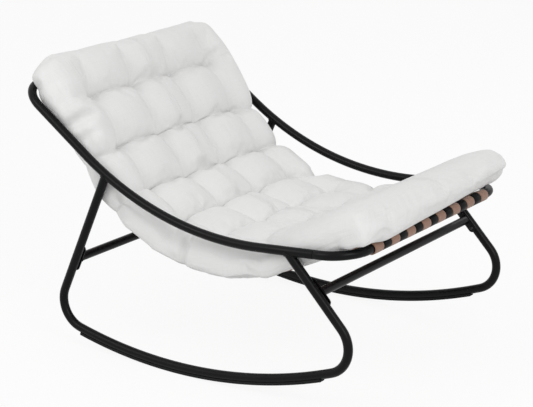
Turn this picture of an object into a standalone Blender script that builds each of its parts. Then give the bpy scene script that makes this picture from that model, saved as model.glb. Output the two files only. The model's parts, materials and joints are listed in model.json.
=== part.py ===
"""Low-slung outdoor rocking chair: a bent steel tube frame on two rockers, a sling of
webbing straps between its head bar and its foot bar, and one loose tufted cushion.

Metres, +Z up. +X points to the foot end and +Y to the sitter's left. The floor is Z = 0.
The side profile is drawn with X = 0 at the rockers' lowest point. The root empty then
centres the whole chair on the origin.
"""

import math

import bmesh
import bpy
from mathutils import Matrix, Vector

# Fits
GAP = 0.0003                       # between surfaces that touch on the real chair
SCREW_CLEARANCE = 0.0004           # round a screw's shank

# Steel tube, drawn with flat sides; the diameter is measured across the flats
TUBE_DIAMETER = 0.025
TUBE_WALL = 0.0012
TUBE_SIDES = 12
BEND_STEP = math.radians(15)       # most turn between two rings of a tight bend
CURVE_STEP = math.radians(6)       # and of the rail's long curve

# Side rails: a straight back and a straight seat meet at a vertex, which a long curve rounds
RAIL_SPACING = 0.81                # between the two rails' axes
RAIL_BACK_ANGLE = math.radians(35.2)
RAIL_SEAT_ANGLE = math.radians(4.4)
RAIL_CURVE_RADIUS = 0.906
RAIL_VERTEX_X = -0.031
RAIL_VERTEX_HEIGHT = 0.389
BACK_LENGTH = 0.604                # from the vertex to the head bar's axis
SEAT_LENGTH = 0.607                # from the vertex to the foot bar's axis
HEAD_CORNER_RADIUS = 0.078
FOOT_CORNER_RADIUS = 0.09
HEAD_JOINT_INSET = 0.03            # straight tube between the head corner and its joint
FOOT_JOINT_INSET = 0.017           # and between the foot corner and its joint
SPIGOT_LENGTH = 0.028              # of the reduced ends that plug into the rails

# Rockers: rear leg, runner arc and front leg are one bent tube
ROCKER_RADIUS = 1.447
ROCKER_BEND_RADIUS = 0.078
ROCKER_STEP = math.radians(2.5)    # turn of one flat of the arc; one flat is level at X = 0
REAR_LEG_ANGLE = math.radians(65.6)
REAR_LEG_X = -0.4616               # where the rear leg's axis would meet the floor
FRONT_LEG_ANGLE = math.radians(46.4)
FRONT_LEG_X = 0.7831

# Floor strips under the rockers
RUNNER_THICKNESS = 0.0055          # below the tube
RUNNER_WIDTH = 0.022
RUNNER_CHAMFER = 0.0025
RUNNER_REAR_SETBACK = 0.01         # from the end of the arc
RUNNER_FRONT_SETBACK = 0.036

# Crossbars, each welded to two plates that are screwed to the legs
REAR_CROSSBAR_HEIGHT = 0.262
FRONT_CROSSBAR_HEIGHT = 0.3225
PLATE_LENGTH = 0.085
PLATE_WIDTH = 0.025
PLATE_THICKNESS = 0.004
PLATE_END_SEGMENTS = 6
SCREW_SPACING = 0.058
SCREW_DIAMETER = 0.006
SCREW_HEAD_DIAMETER = 0.0105
SCREW_HEAD_HEIGHT = 0.0033
SCREW_REACH = 0.006                # past the leg's wall
SCREW_SIDES = 10

# Sling: straps loop round both bars and are sewn back on themselves
STRAP_COUNT = 8
STRAP_WIDTH = 0.041
STRAP_THICKNESS = 0.003
STRAP_END_MARGIN = 0.010           # from an outer strap's edge to the foot corner
STRAP_BACK_ANGLE = math.radians(51.1)
STRAP_SEAT_ANGLE = math.radians(26)
STRAP_CURVE_RADIUS = 0.52
STRAP_LOOP_LENGTH = 0.06           # from the bar to where the tail meets the strap
STRAP_TAIL_LENGTH = 0.03           # sewn to the strap
STRAP_LOOP_SEGMENTS = 10
SLEEVE_END_GAP = 0.0005            # from a sleeve's end to the strap beside it

# Cushion
CUSHION_THICKNESS = 0.108
CUSHION_SIDE_GAP = 0.003           # to a rail
CUSHION_HEAD_OVERHANG = 0.037      # past the head bar's axis, along the sling
CUSHION_FOOT_OVERHANG = 0.076
CUSHION_SEAM_HEIGHT = 0.047        # of the edge seam above the sling
CUSHION_SEAM_LIP = 0.006           # half the thickness that is left at the two end seams
CUSHION_SHOULDER = 0.055           # how far in the top starts to round down to the edge seam
CUSHION_SIDE_ROUND = 0.025         # how far in the underside starts to round up
CUSHION_BAR_ROUND = 0.06           # the same near the two bars, where the tubes' corners are
CUSHION_BAR_REACH = 0.12           # how near to a bar that is
CUSHION_END_ROUND = 0.045
CUSHION_CORNER_RADIUS = 0.06
CUSHION_DRAW_IN = 0.012            # of the sides at each row of tufts
TUFT_ROWS = 6
TUFT_COLUMNS = 4
TUFT_COLUMN_PITCH = 0.178
TUFT_HEAD_DEPTH = 0.148            # from the head end to the first row
TUFT_FOOT_DEPTH = 0.4425           # from the last row to the foot end, a plain pad
TUFT_ROW_DEPTH = 0.022             # of the crease along a row
TUFT_COLUMN_DEPTH = 0.016          # of the crease between two columns
TUFT_POINT_DEPTH = 0.022           # more, where both meet
TUFT_SIDE_FADE = 0.55              # share of a row's crease that is gone at the cushion's sides
TUFT_SPREAD = 0.026                # half width of a crease
TUFT_CELLS = 4                     # steps of the surface across one puff
PAD_CELLS = 8                      # steps of the surface along the plain foot pad
PAD_START = 0.07                   # past the last row, where the creases between columns end

HALF_TUBE = TUBE_DIAMETER / 2
TUBE_CORNER = HALF_TUBE / math.cos(math.pi / TUBE_SIDES)
HALF_SPACING = RAIL_SPACING / 2
ROCKER_AXIS_HEIGHT = RUNNER_THICKNESS + HALF_TUBE
SIDES = {"left": 1, "right": -1}


def clear_scene():
    for obj in list(bpy.data.objects):
        bpy.data.objects.remove(obj, do_unlink=True)


def material(name, colour, roughness, metallic=0.0):
    made = bpy.data.materials.new(name)
    made.use_nodes = True
    shader = made.node_tree.nodes["Principled BSDF"]
    shader.inputs["Base Color"].default_value = (*colour, 1.0)
    shader.inputs["Roughness"].default_value = roughness
    shader.inputs["Metallic"].default_value = metallic
    made.diffuse_color = (*colour, 1.0)
    return made


def side_point(x, z, y=0.0):
    return Vector((x, y, z))


def heading(angle):
    """Unit vector in the side plane, at an angle up from +X."""
    return Vector((math.cos(angle), 0.0, math.sin(angle)))


def mesh_from(name, verts, faces, sharp=math.radians(40)):
    """Closed mesh with its faces turned outwards and its round sides shaded smooth."""
    mesh = bpy.data.meshes.new(name)
    shape = bmesh.new()
    made = [shape.verts.new(v) for v in verts]
    for face in faces:
        shape.faces.new([made[i] for i in face])
    bmesh.ops.recalc_face_normals(shape, faces=shape.faces)
    shape.to_mesh(mesh)
    shape.free()
    mesh.shade_smooth()
    mesh.set_sharp_from_angle(angle=sharp)
    return mesh


def loft(name, rings, sharp=math.radians(40)):
    """Solid through closed rings of equal count, with flat ends."""
    count = len(rings[0])
    verts = [point for ring in rings for point in ring]
    faces = [tuple(range(count)), tuple(range(len(verts) - count, len(verts)))]
    for row in range(len(rings) - 1):
        for k in range(count):
            a = row * count + k
            b = row * count + (k + 1) % count
            faces.append((a, b, b + count, a + count))
    return mesh_from(name, verts, faces, sharp)


def place(name, mesh, paint, parent, location=(0, 0, 0), rotation=(0, 0, 0)):
    obj = bpy.data.objects.new(name, mesh)
    bpy.context.scene.collection.objects.link(obj)
    obj.parent = parent
    obj.location = location
    obj.rotation_euler = rotation
    if not mesh.materials:
        mesh.materials.append(paint)
    return obj


def make_cutter(name, mesh, parent, location=(0, 0, 0), rotation=(0, 0, 0)):
    obj = bpy.data.objects.new(name, mesh)
    bpy.context.scene.collection.objects.link(obj)
    obj.parent = parent
    obj.location = location
    obj.rotation_euler = rotation
    obj.hide_render = True
    obj.display_type = "WIRE"
    return obj


def cut(obj, cutter):
    modifier = obj.modifiers.new("cut " + cutter.name, "BOOLEAN")
    modifier.operation = "DIFFERENCE"
    modifier.solver = "EXACT"
    modifier.object = cutter


def rounded_path(corners, radii, steps):
    """Points along straight runs, with each inner corner rounded to its radius."""
    points = [corners[0]]
    for k, radius in enumerate(radii):
        before = (corners[k + 1] - corners[k]).normalized()
        after = (corners[k + 2] - corners[k + 1]).normalized()
        turn = before.angle(after)
        start = corners[k + 1] - before * (radius * math.tan(turn / 2))
        axis = before.cross(after).normalized()
        centre = start + axis.cross(before) * radius
        count = math.ceil(turn / steps[k] - 1e-6)
        for step in range(count + 1):
            spin = Matrix.Rotation(turn * step / count, 3, axis)
            points.append(centre + spin @ (start - centre))
    points.append(corners[-1])
    return points


def directions(points):
    """Tangent at each point: the mean of the runs on its two sides."""
    runs = [(b - a).normalized() for a, b in zip(points, points[1:])]
    inner = [(a + b).normalized() for a, b in zip(runs, runs[1:])]
    return [runs[0], *inner, runs[-1]]


def tube_rings(points, normal, halves):
    """Flat-sided rings along a path; the first normal is carried along without twist."""
    rings = []
    tangents = directions(points)
    last = tangents[0]
    for point, tangent, half in zip(points, tangents, halves):
        normal = last.rotation_difference(tangent) @ normal
        last = tangent
        side = tangent.cross(normal)
        ring = []
        for k in range(TUBE_SIDES):
            angle = 2 * math.pi * (k + 0.5) / TUBE_SIDES
            corner = half / math.cos(math.pi / TUBE_SIDES)
            ring.append(point + corner * (math.cos(angle) * normal + math.sin(angle) * side))
        rings.append(ring)
    return rings


def solid_tube(name, points, normal, half):
    return loft(name, tube_rings(points, normal, [half] * len(points)))


def spigot_rings(points, normal, length, half, bore):
    """Rings of a tube whose two ends are reduced over the spigot length to fit that bore."""
    first = (points[1] - points[0]).normalized()
    last = (points[-1] - points[-2]).normalized()
    route = [points[0] - first * length, *points, points[-1] + last * length]
    full = tube_rings(points, normal, [half] * len(points))
    thin = tube_rings(route, normal, [bore] * len(route))
    return [thin[0], thin[1], *full, thin[-2], thin[-1]]


def hollow(name, outer, inner):
    """Open-ended pipe between two runs of rings of equal count."""
    count = len(outer[0])
    total = len(outer) * count
    verts = [point for ring in outer + inner for point in ring]
    faces = []
    for row in range(len(outer) - 1):
        for k in range(count):
            a = row * count + k
            b = row * count + (k + 1) % count
            faces.append((a, b, b + count, a + count))
            faces.append((total + a, total + a + count, total + b + count, total + b))
    for base in (0, total - count):
        for k in range(count):
            a = base + k
            b = base + (k + 1) % count
            faces.append((a, b, total + b, total + a))
    return mesh_from(name, verts, faces)


def pipe(name, points, normal, half=HALF_TUBE, wall=TUBE_WALL):
    outer = tube_rings(points, normal, [half] * len(points))
    inner = tube_rings(points, normal, [half - wall] * len(points))
    return hollow(name, outer, inner)


def plugged_pipe(name, points, normal):
    """Pipe with a reduced spigot beyond each end, which slides into the next tube's bore."""
    spigot = HALF_TUBE - TUBE_WALL - GAP
    outer = spigot_rings(points, normal, SPIGOT_LENGTH, HALF_TUBE, spigot)
    inner = spigot_rings(points, normal, SPIGOT_LENGTH, HALF_TUBE - TUBE_WALL, spigot - TUBE_WALL)
    return hollow(name, outer, inner)


# Side profile of the rails and the two bars
BACKWARD = heading(math.pi - RAIL_BACK_ANGLE)
FORWARD = heading(RAIL_SEAT_ANGLE)
RAIL_VERTEX = side_point(RAIL_VERTEX_X, RAIL_VERTEX_HEIGHT)
HEAD_BAR = RAIL_VERTEX + BACKWARD * BACK_LENGTH
FOOT_BAR = RAIL_VERTEX + FORWARD * SEAT_LENGTH
BACK_NORMAL = heading(math.pi / 2 - RAIL_BACK_ANGLE)
SEAT_NORMAL = heading(math.pi / 2 + RAIL_SEAT_ANGLE)
HEAD_JOINT_Y = HALF_SPACING - HEAD_CORNER_RADIUS - HEAD_JOINT_INSET
FOOT_JOINT = FOOT_BAR - FORWARD * (FOOT_CORNER_RADIUS + FOOT_JOINT_INSET)


def sideways(side):
    return Vector((0.0, SIDES[side], 0.0))


def rail_path(side):
    """Axis of one rail, from its joint with the head bar to its joint with the foot bar."""
    out = sideways(side)
    corners = [
        HEAD_BAR + out * HEAD_JOINT_Y,
        HEAD_BAR + out * HALF_SPACING,
        RAIL_VERTEX + out * HALF_SPACING,
        FOOT_JOINT + out * HALF_SPACING,
    ]
    radii = [HEAD_CORNER_RADIUS, RAIL_CURVE_RADIUS]
    return rounded_path(corners, radii, [BEND_STEP, CURVE_STEP])


def make_rails(parent, paint):
    for side in SIDES:
        place(f"side_rail_{side}", pipe("side_rail", rail_path(side), BACK_NORMAL), paint, parent)


def make_head_bar(parent, paint):
    reach = Vector((0.0, HEAD_JOINT_Y - GAP, 0.0))
    mesh = plugged_pipe("head_bar", [-reach, reach], BACK_NORMAL)
    place("head_bar", mesh, paint, parent, HEAD_BAR)


def make_foot_bar(parent, paint):
    back = FOOT_JOINT - FOOT_BAR + FORWARD * GAP
    corners = [
        back + sideways("left") * HALF_SPACING,
        sideways("left") * HALF_SPACING,
        sideways("right") * HALF_SPACING,
        back + sideways("right") * HALF_SPACING,
    ]
    path = rounded_path(corners, [FOOT_CORNER_RADIUS] * 2, [BEND_STEP] * 2)
    place("foot_bar", plugged_pipe("foot_bar", path, SEAT_NORMAL), paint, parent, FOOT_BAR)


# Side profile of the rockers
ROCKER_CENTRE = side_point(0.0, ROCKER_AXIS_HEIGHT + ROCKER_RADIUS)
REAR_LEG = heading(REAR_LEG_ANGLE)
FRONT_LEG = heading(math.pi - FRONT_LEG_ANGLE)
REAR_INWARD = heading(REAR_LEG_ANGLE - math.pi / 2)
FRONT_INWARD = heading(math.pi * 1.5 - FRONT_LEG_ANGLE)


def arc_point(angle, depth=0.0):
    """Point under the rocker's centre on a flat of the arc, a depth outside the tube's axis."""
    flat = ROCKER_STEP * round(angle / ROCKER_STEP)
    reach = (ROCKER_RADIUS + depth) / math.cos(angle - flat)
    return ROCKER_CENTRE + reach * Vector((math.sin(angle), 0.0, -math.cos(angle)))


def leg_bend(floor_x, leg, inward):
    """Centre of the bend between a leg and the arc, and the arc's angle where it starts."""
    from_centre = side_point(floor_x, 0.0) + inward * ROCKER_BEND_RADIUS - ROCKER_CENTRE
    along = from_centre.dot(leg)
    reach = ROCKER_RADIUS - ROCKER_BEND_RADIUS
    slide = -along - math.sqrt(along**2 - from_centre.length_squared + reach**2)
    centre = ROCKER_CENTRE + from_centre + leg * slide
    away = centre - ROCKER_CENTRE
    return centre, math.atan2(away.x, -away.z)


def arc_angles(start, end):
    """The given ends, with the corners between the arc's flats in between."""
    first = math.ceil(start / ROCKER_STEP + 0.5 + 0.2)
    last = math.floor(end / ROCKER_STEP - 0.5 - 0.2)
    return [start, *((k - 0.5) * ROCKER_STEP for k in range(first, last + 2)), end]


def leg_top(floor_x, leg):
    """Where a leg's axis meets the rail's axis."""
    foot = side_point(floor_x, 0.0)
    profile = [side_point(p.x, p.z) for p in rail_path("left")]
    across = Vector((-leg.z, 0.0, leg.x))
    for a, b in zip(profile, profile[1:]):
        before = (a - foot).dot(across)
        after = (b - foot).dot(across)
        if before * after <= 0 and before != after:
            return a.lerp(b, before / (before - after))
    raise ValueError("a leg misses the rail")


def bend_points(centre, start, end):
    """Points round a bend's centre, from one unit vector to another."""
    turn = start.angle(end)
    axis = start.cross(end).normalized()
    count = math.ceil(turn / BEND_STEP - 1e-6)
    spins = (Matrix.Rotation(turn * k / count, 3, axis) for k in range(count + 1))
    return [centre + ROCKER_BEND_RADIUS * (spin @ start) for spin in spins]


REAR_BEND, REAR_ARC = leg_bend(REAR_LEG_X, REAR_LEG, REAR_INWARD)
FRONT_BEND, FRONT_ARC = leg_bend(FRONT_LEG_X, FRONT_LEG, FRONT_INWARD)


def rocker_path():
    """Axis of a rocker in the side plane, from the rear leg's top to the front leg's top."""
    down_rear = (REAR_BEND - ROCKER_CENTRE).normalized()
    down_front = (FRONT_BEND - ROCKER_CENTRE).normalized()
    rear = bend_points(REAR_BEND, -REAR_INWARD, down_rear)
    front = bend_points(FRONT_BEND, down_front, -FRONT_INWARD)
    arc = [arc_point(angle) for angle in arc_angles(REAR_ARC, FRONT_ARC)]
    top_rear = leg_top(REAR_LEG_X, REAR_LEG)
    top_front = leg_top(FRONT_LEG_X, FRONT_LEG)
    return [top_rear, *rear[:-1], *arc, *front[1:], top_front]


def crossbar_place(floor_x, angle, height):
    return side_point(floor_x + height / math.tan(angle), height)


CROSSBARS = {
    "rear": (crossbar_place(REAR_LEG_X, REAR_LEG_ANGLE, REAR_CROSSBAR_HEIGHT), REAR_LEG),
    "front": (crossbar_place(FRONT_LEG_X, math.pi - FRONT_LEG_ANGLE, FRONT_CROSSBAR_HEIGHT), FRONT_LEG),
}
PLATE_OUTER_Y = HALF_SPACING - HALF_TUBE - GAP
PLATE_INNER_Y = PLATE_OUTER_Y - PLATE_THICKNESS


def make_rockers(parent, paint, screw_cutters):
    path = rocker_path()
    for side in SIDES:
        location = sideways(side) * HALF_SPACING
        mesh = pipe("rocker", path, sideways("left"))
        rocker = place(f"rocker_{side}", mesh, paint, parent, location)
        cope = solid_tube("cope", rail_path(side), BACK_NORMAL, HALF_TUBE + GAP)
        cut(rocker, make_cutter(f"cope_{side}", cope, parent))
        for cutter in screw_cutters[side]:
            cut(rocker, cutter)


def make_runners(parent, paint):
    hug = (HALF_TUBE + GAP) / math.cos(math.pi / TUBE_SIDES)
    half = RUNNER_WIDTH / 2
    floor = HALF_TUBE + RUNNER_THICKNESS
    turns = [math.pi * k / TUBE_SIDES for k in (-3, -1, 1, 3)]
    section = [(hug * math.sin(turn), hug * math.cos(turn)) for turn in turns]
    lip = section[0][1]
    section += [
        (half, lip),
        (half, floor - RUNNER_CHAMFER),
        (half - RUNNER_CHAMFER, floor),
        (RUNNER_CHAMFER - half, floor),
        (-half, floor - RUNNER_CHAMFER),
        (-half, lip),
    ]
    start = REAR_ARC + RUNNER_REAR_SETBACK / ROCKER_RADIUS
    end = FRONT_ARC - RUNNER_FRONT_SETBACK / ROCKER_RADIUS
    rings = []
    for angle in arc_angles(start, end):
        rings.append([arc_point(angle, depth) + Vector((0.0, y, 0.0)) for y, depth in section])
    mesh = loft("runner", rings, math.radians(25))
    for side in SIDES:
        place(f"runner_{side}", mesh, paint, parent, sideways(side) * HALF_SPACING)


def make_crossbars(parent, paint):
    reach = Vector((0.0, PLATE_INNER_Y - GAP, 0.0))
    for name, (centre, leg) in CROSSBARS.items():
        place(f"{name}_crossbar", pipe("crossbar", [-reach, reach], leg), paint, parent, centre)


def tilt_of(leg):
    """Rotation that turns local +X along a leg, keeping +Y."""
    return (0.0, -math.atan2(leg.z, leg.x), 0.0)


def make_plates(parent, paint, screw_cutters):
    """Flat plates with round ends, on the inner side of each leg."""
    straight = (PLATE_LENGTH - PLATE_WIDTH) / 2
    radius = PLATE_WIDTH / 2
    outline = []
    for end in (1, -1):
        for k in range(PLATE_END_SEGMENTS + 1):
            turn = math.pi * k / PLATE_END_SEGMENTS
            outline.append((end * (straight + radius * math.sin(turn)), end * radius * math.cos(turn)))
    depths = (0.0, PLATE_THICKNESS)
    rings = [[Vector((x, depth, z)) for x, z in outline] for depth in depths]
    for bar, (centre, leg) in CROSSBARS.items():
        for side in SIDES:
            low = PLATE_INNER_Y if side == "left" else -PLATE_OUTER_Y
            mesh = loft("plate", rings)
            location = centre + Vector((0.0, low, 0.0))
            plate = place(f"{bar}_plate_{side}", mesh, paint, parent, location, tilt_of(leg))
            cut(plate, screw_cutters[side][0 if bar == "rear" else 1])


def round_rings(profile, sides):
    """Rings about +Y from (radius, distance along Y) pairs."""
    rings = []
    for radius, along in profile:
        turns = [2 * math.pi * k / sides for k in range(sides)]
        rings.append([Vector((radius * math.cos(t), along, radius * math.sin(t))) for t in turns])
    return rings


def screw_places():
    """(bar, side, number, point on the plate's inner face) of each screw."""
    for bar, (centre, leg) in CROSSBARS.items():
        for side in SIDES:
            for number, shift in enumerate((-SCREW_SPACING / 2, SCREW_SPACING / 2)):
                yield bar, side, number, centre + leg * shift + sideways(side) * PLATE_INNER_Y


def facing(side):
    """Rotation that turns local +Y outwards on a side."""
    return (0.0, 0.0, 0.0 if side == "left" else math.pi)


def make_screw_cutters(parent):
    """One cutter for each plate: two holes through the plate and the leg's inner wall."""
    radius = SCREW_DIAMETER / 2 + SCREW_CLEARANCE
    depth = PLATE_THICKNESS + GAP + HALF_TUBE
    found = {"left": [], "right": []}
    for bar, (centre, leg) in CROSSBARS.items():
        for side in SIDES:
            verts = []
            faces = []
            along = Vector((leg.x * SIDES[side], 0.0, leg.z))
            for shift in (-SCREW_SPACING / 2, SCREW_SPACING / 2):
                base = len(verts)
                for ring in round_rings([(radius, -PLATE_THICKNESS), (radius, depth)], SCREW_SIDES):
                    verts += [point + along * shift for point in ring]
                faces.append(tuple(base + k for k in range(SCREW_SIDES)))
                faces.append(tuple(base + SCREW_SIDES + k for k in range(SCREW_SIDES)))
                for k in range(SCREW_SIDES):
                    a = base + k
                    b = base + (k + 1) % SCREW_SIDES
                    faces.append((a, b, b + SCREW_SIDES, a + SCREW_SIDES))
            mesh = mesh_from("holes", verts, faces)
            location = centre + sideways(side) * PLATE_INNER_Y
            found[side].append(make_cutter(f"holes_{bar}_{side}", mesh, parent, location, facing(side)))
    return found


def make_screws(parent, paint):
    shank = SCREW_DIAMETER / 2
    head = SCREW_HEAD_DIAMETER / 2
    reach = PLATE_THICKNESS + GAP + TUBE_WALL + SCREW_REACH
    profile = [
        (head * 0.6, -SCREW_HEAD_HEIGHT - GAP),
        (head, -SCREW_HEAD_HEIGHT * 0.5 - GAP),
        (head, -GAP),
        (shank, -GAP),
        (shank, reach),
    ]
    mesh = loft("screw", round_rings(profile, SCREW_SIDES))
    for bar, side, number, point in screw_places():
        place(f"{bar}_screw_{side}_{number + 1}", mesh, paint, parent, point, facing(side))


# Side profile of the sling
SLING_DOWN = heading(-STRAP_BACK_ANGLE)
SLING_UP = heading(STRAP_SEAT_ANGLE)
SLING_BACK_NORMAL = heading(math.pi / 2 - STRAP_BACK_ANGLE)
SLING_SEAT_NORMAL = heading(math.pi / 2 + STRAP_SEAT_ANGLE)
STRAP_LOOP_RADIUS = TUBE_CORNER + GAP + STRAP_THICKNESS / 2
STRAP_TOP = STRAP_LOOP_RADIUS + STRAP_THICKNESS / 2
SLING_HEAD = HEAD_BAR + SLING_BACK_NORMAL * STRAP_LOOP_RADIUS
SLING_FOOT = FOOT_BAR + SLING_SEAT_NORMAL * STRAP_LOOP_RADIUS


def meeting_point(a, along_a, b, along_b):
    """Where two lines of the side plane cross."""
    across = Vector((-along_b.z, 0.0, along_b.x))
    return a + along_a * ((b - a).dot(across) / along_a.dot(across))


SLING_VERTEX = meeting_point(SLING_HEAD, SLING_DOWN, SLING_FOOT, SLING_UP)
SLING_TURN = STRAP_BACK_ANGLE + STRAP_SEAT_ANGLE
SLING_TANGENT = STRAP_CURVE_RADIUS * math.tan(SLING_TURN / 2)
SLING_BACK_RUN = (SLING_VERTEX - SLING_HEAD).length - SLING_TANGENT
SLING_CURVE_RUN = STRAP_CURVE_RADIUS * SLING_TURN
SLING_SEAT_RUN = (SLING_FOOT - SLING_VERTEX).length - SLING_TANGENT
SLING_LENGTH = SLING_BACK_RUN + SLING_CURVE_RUN + SLING_SEAT_RUN
SLING_CENTRE = SLING_HEAD + SLING_DOWN * SLING_BACK_RUN + SLING_BACK_NORMAL * STRAP_CURVE_RADIUS


def sling_point(along):
    """Point of the straps' middle line, measured from where it leaves the head bar."""
    if along <= SLING_BACK_RUN:
        return SLING_HEAD + SLING_DOWN * along
    if along >= SLING_BACK_RUN + SLING_CURVE_RUN:
        return SLING_FOOT + SLING_UP * (along - SLING_LENGTH)
    angle = (along - SLING_BACK_RUN) / STRAP_CURVE_RADIUS - STRAP_BACK_ANGLE
    return SLING_CENTRE - heading(math.pi / 2 + angle) * STRAP_CURVE_RADIUS


def offset_line(points, distance):
    """A line beside a line of the side plane, each run moved up its own normal."""
    runs = [(b - a).normalized() for a, b in zip(points, points[1:])]
    normals = [Vector((-run.z, 0.0, run.x)) for run in runs]
    moved = []
    for k, point in enumerate(points):
        before = normals[max(k - 1, 0)]
        after = normals[min(k, len(normals) - 1)]
        middle = (before + after).normalized()
        moved.append(point + middle * (distance / middle.dot(after)))
    return moved


def row_places():
    """Distances of the rows of tufts along the sling."""
    first = TUFT_HEAD_DEPTH - CUSHION_HEAD_OVERHANG
    last = SLING_LENGTH + CUSHION_FOOT_OVERHANG - TUFT_FOOT_DEPTH
    return [first + (last - first) * k / (TUFT_ROWS - 1) for k in range(TUFT_ROWS)]


def cushion_stations():
    """Distances along the sling at which the cushion has a ring of points."""
    head = -CUSHION_HEAD_OVERHANG
    foot = SLING_LENGTH + CUSHION_FOOT_OVERHANG
    rows = row_places()
    rounding = (0.0, 0.3, 1.0)
    places = [head + CUSHION_END_ROUND * part for part in rounding]
    knee = places[-1]
    places += [knee + (rows[0] - knee) * k / 3 for k in (1, 2, 3)]
    for a, b in zip(rows, rows[1:]):
        places += [a + (b - a) * k / TUFT_CELLS for k in range(1, TUFT_CELLS + 1)]
    knee = foot - CUSHION_END_ROUND
    places += [rows[-1] + (knee - rows[-1]) * k / PAD_CELLS for k in range(1, PAD_CELLS)]
    places += [foot - CUSHION_END_ROUND * part for part in reversed(rounding)]
    return places


def strap_loop(bar, along, normal):
    """A strap's end round a bar, from where it leaves the bar to its tail's end."""
    meet = along * STRAP_LOOP_LENGTH + normal * (STRAP_LOOP_RADIUS - STRAP_THICKNESS - GAP)
    reach = math.atan2(meet.dot(normal), meet.dot(along))
    leave = reach - math.acos(STRAP_LOOP_RADIUS / meet.length)
    start = math.pi / 2
    turn = 2 * math.pi + leave - start
    step = turn / STRAP_LOOP_SEGMENTS
    corner = STRAP_LOOP_RADIUS / math.cos(step / 2)
    points = []
    for k in range(STRAP_LOOP_SEGMENTS):
        angle = start + step * (k + 0.5)
        points.append(bar + corner * (math.cos(angle) * along + math.sin(angle) * normal))
    tail = along * (STRAP_LOOP_LENGTH + STRAP_TAIL_LENGTH)
    end = tail + normal * (STRAP_LOOP_RADIUS - STRAP_THICKNESS - GAP)
    return [*points, bar + meet, bar + end]


def strap_line():
    """A strap's middle line: tail, loop, sling, loop and tail."""
    head = strap_loop(HEAD_BAR, SLING_DOWN, SLING_BACK_NORMAL)
    foot = strap_loop(FOOT_BAR, -SLING_UP, SLING_SEAT_NORMAL)
    inner = [place for place in cushion_stations() if GAP < place < SLING_LENGTH - GAP]
    return [*reversed(head), *(sling_point(place) for place in inner), *foot]


def strap_centres():
    straight = RAIL_SPACING - 2 * (FOOT_CORNER_RADIUS + STRAP_END_MARGIN)
    pitch = (straight - STRAP_WIDTH) / (STRAP_COUNT - 1)
    return [pitch * (k - (STRAP_COUNT - 1) / 2) for k in range(STRAP_COUNT)]


def make_straps(parent, paint):
    line = strap_line()
    above = offset_line(line, STRAP_THICKNESS / 2)
    below = offset_line(line, -STRAP_THICKNESS / 2)
    half = Vector((0.0, STRAP_WIDTH / 2, 0.0))
    rings = [[a - half, a + half, b + half, b - half] for a, b in zip(above, below)]
    mesh = loft("strap", rings, math.radians(50))
    for number, y in enumerate(strap_centres()):
        place(f"strap_{number + 1}", mesh, paint, parent, (0.0, y, 0.0))


def make_sleeves(parent, paint):
    """Spacer sleeves on both bars, between neighbouring straps."""
    centres = strap_centres()
    pitch = centres[1] - centres[0]
    reach = Vector((0.0, (pitch - STRAP_WIDTH) / 2 - SLEEVE_END_GAP, 0.0))
    half = STRAP_TOP * math.cos(math.pi / TUBE_SIDES)
    wall = half - HALF_TUBE - GAP
    for bar, place_of_bar, normal in (("head", HEAD_BAR, BACK_NORMAL), ("foot", FOOT_BAR, SEAT_NORMAL)):
        mesh = pipe(f"{bar}_sleeve", [-reach, reach], normal, half, wall)
        for number, y in enumerate(centres[:-1]):
            middle = place_of_bar + Vector((0.0, y + pitch / 2, 0.0))
            place(f"{bar}_sleeve_{number + 1}", mesh, paint, parent, middle)


CUSHION_HALF_WIDTH = HALF_SPACING - HALF_TUBE - CUSHION_SIDE_GAP


def crease(distance):
    return math.exp(-((distance / TUFT_SPREAD) ** 2))


def quarter_round(share):
    """Rise of a quarter circle, from 0 at its foot to 1 where it levels off."""
    return math.sqrt(max(0.0, 1.0 - (1.0 - min(max(share, 0.0), 1.0)) ** 2))


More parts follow.
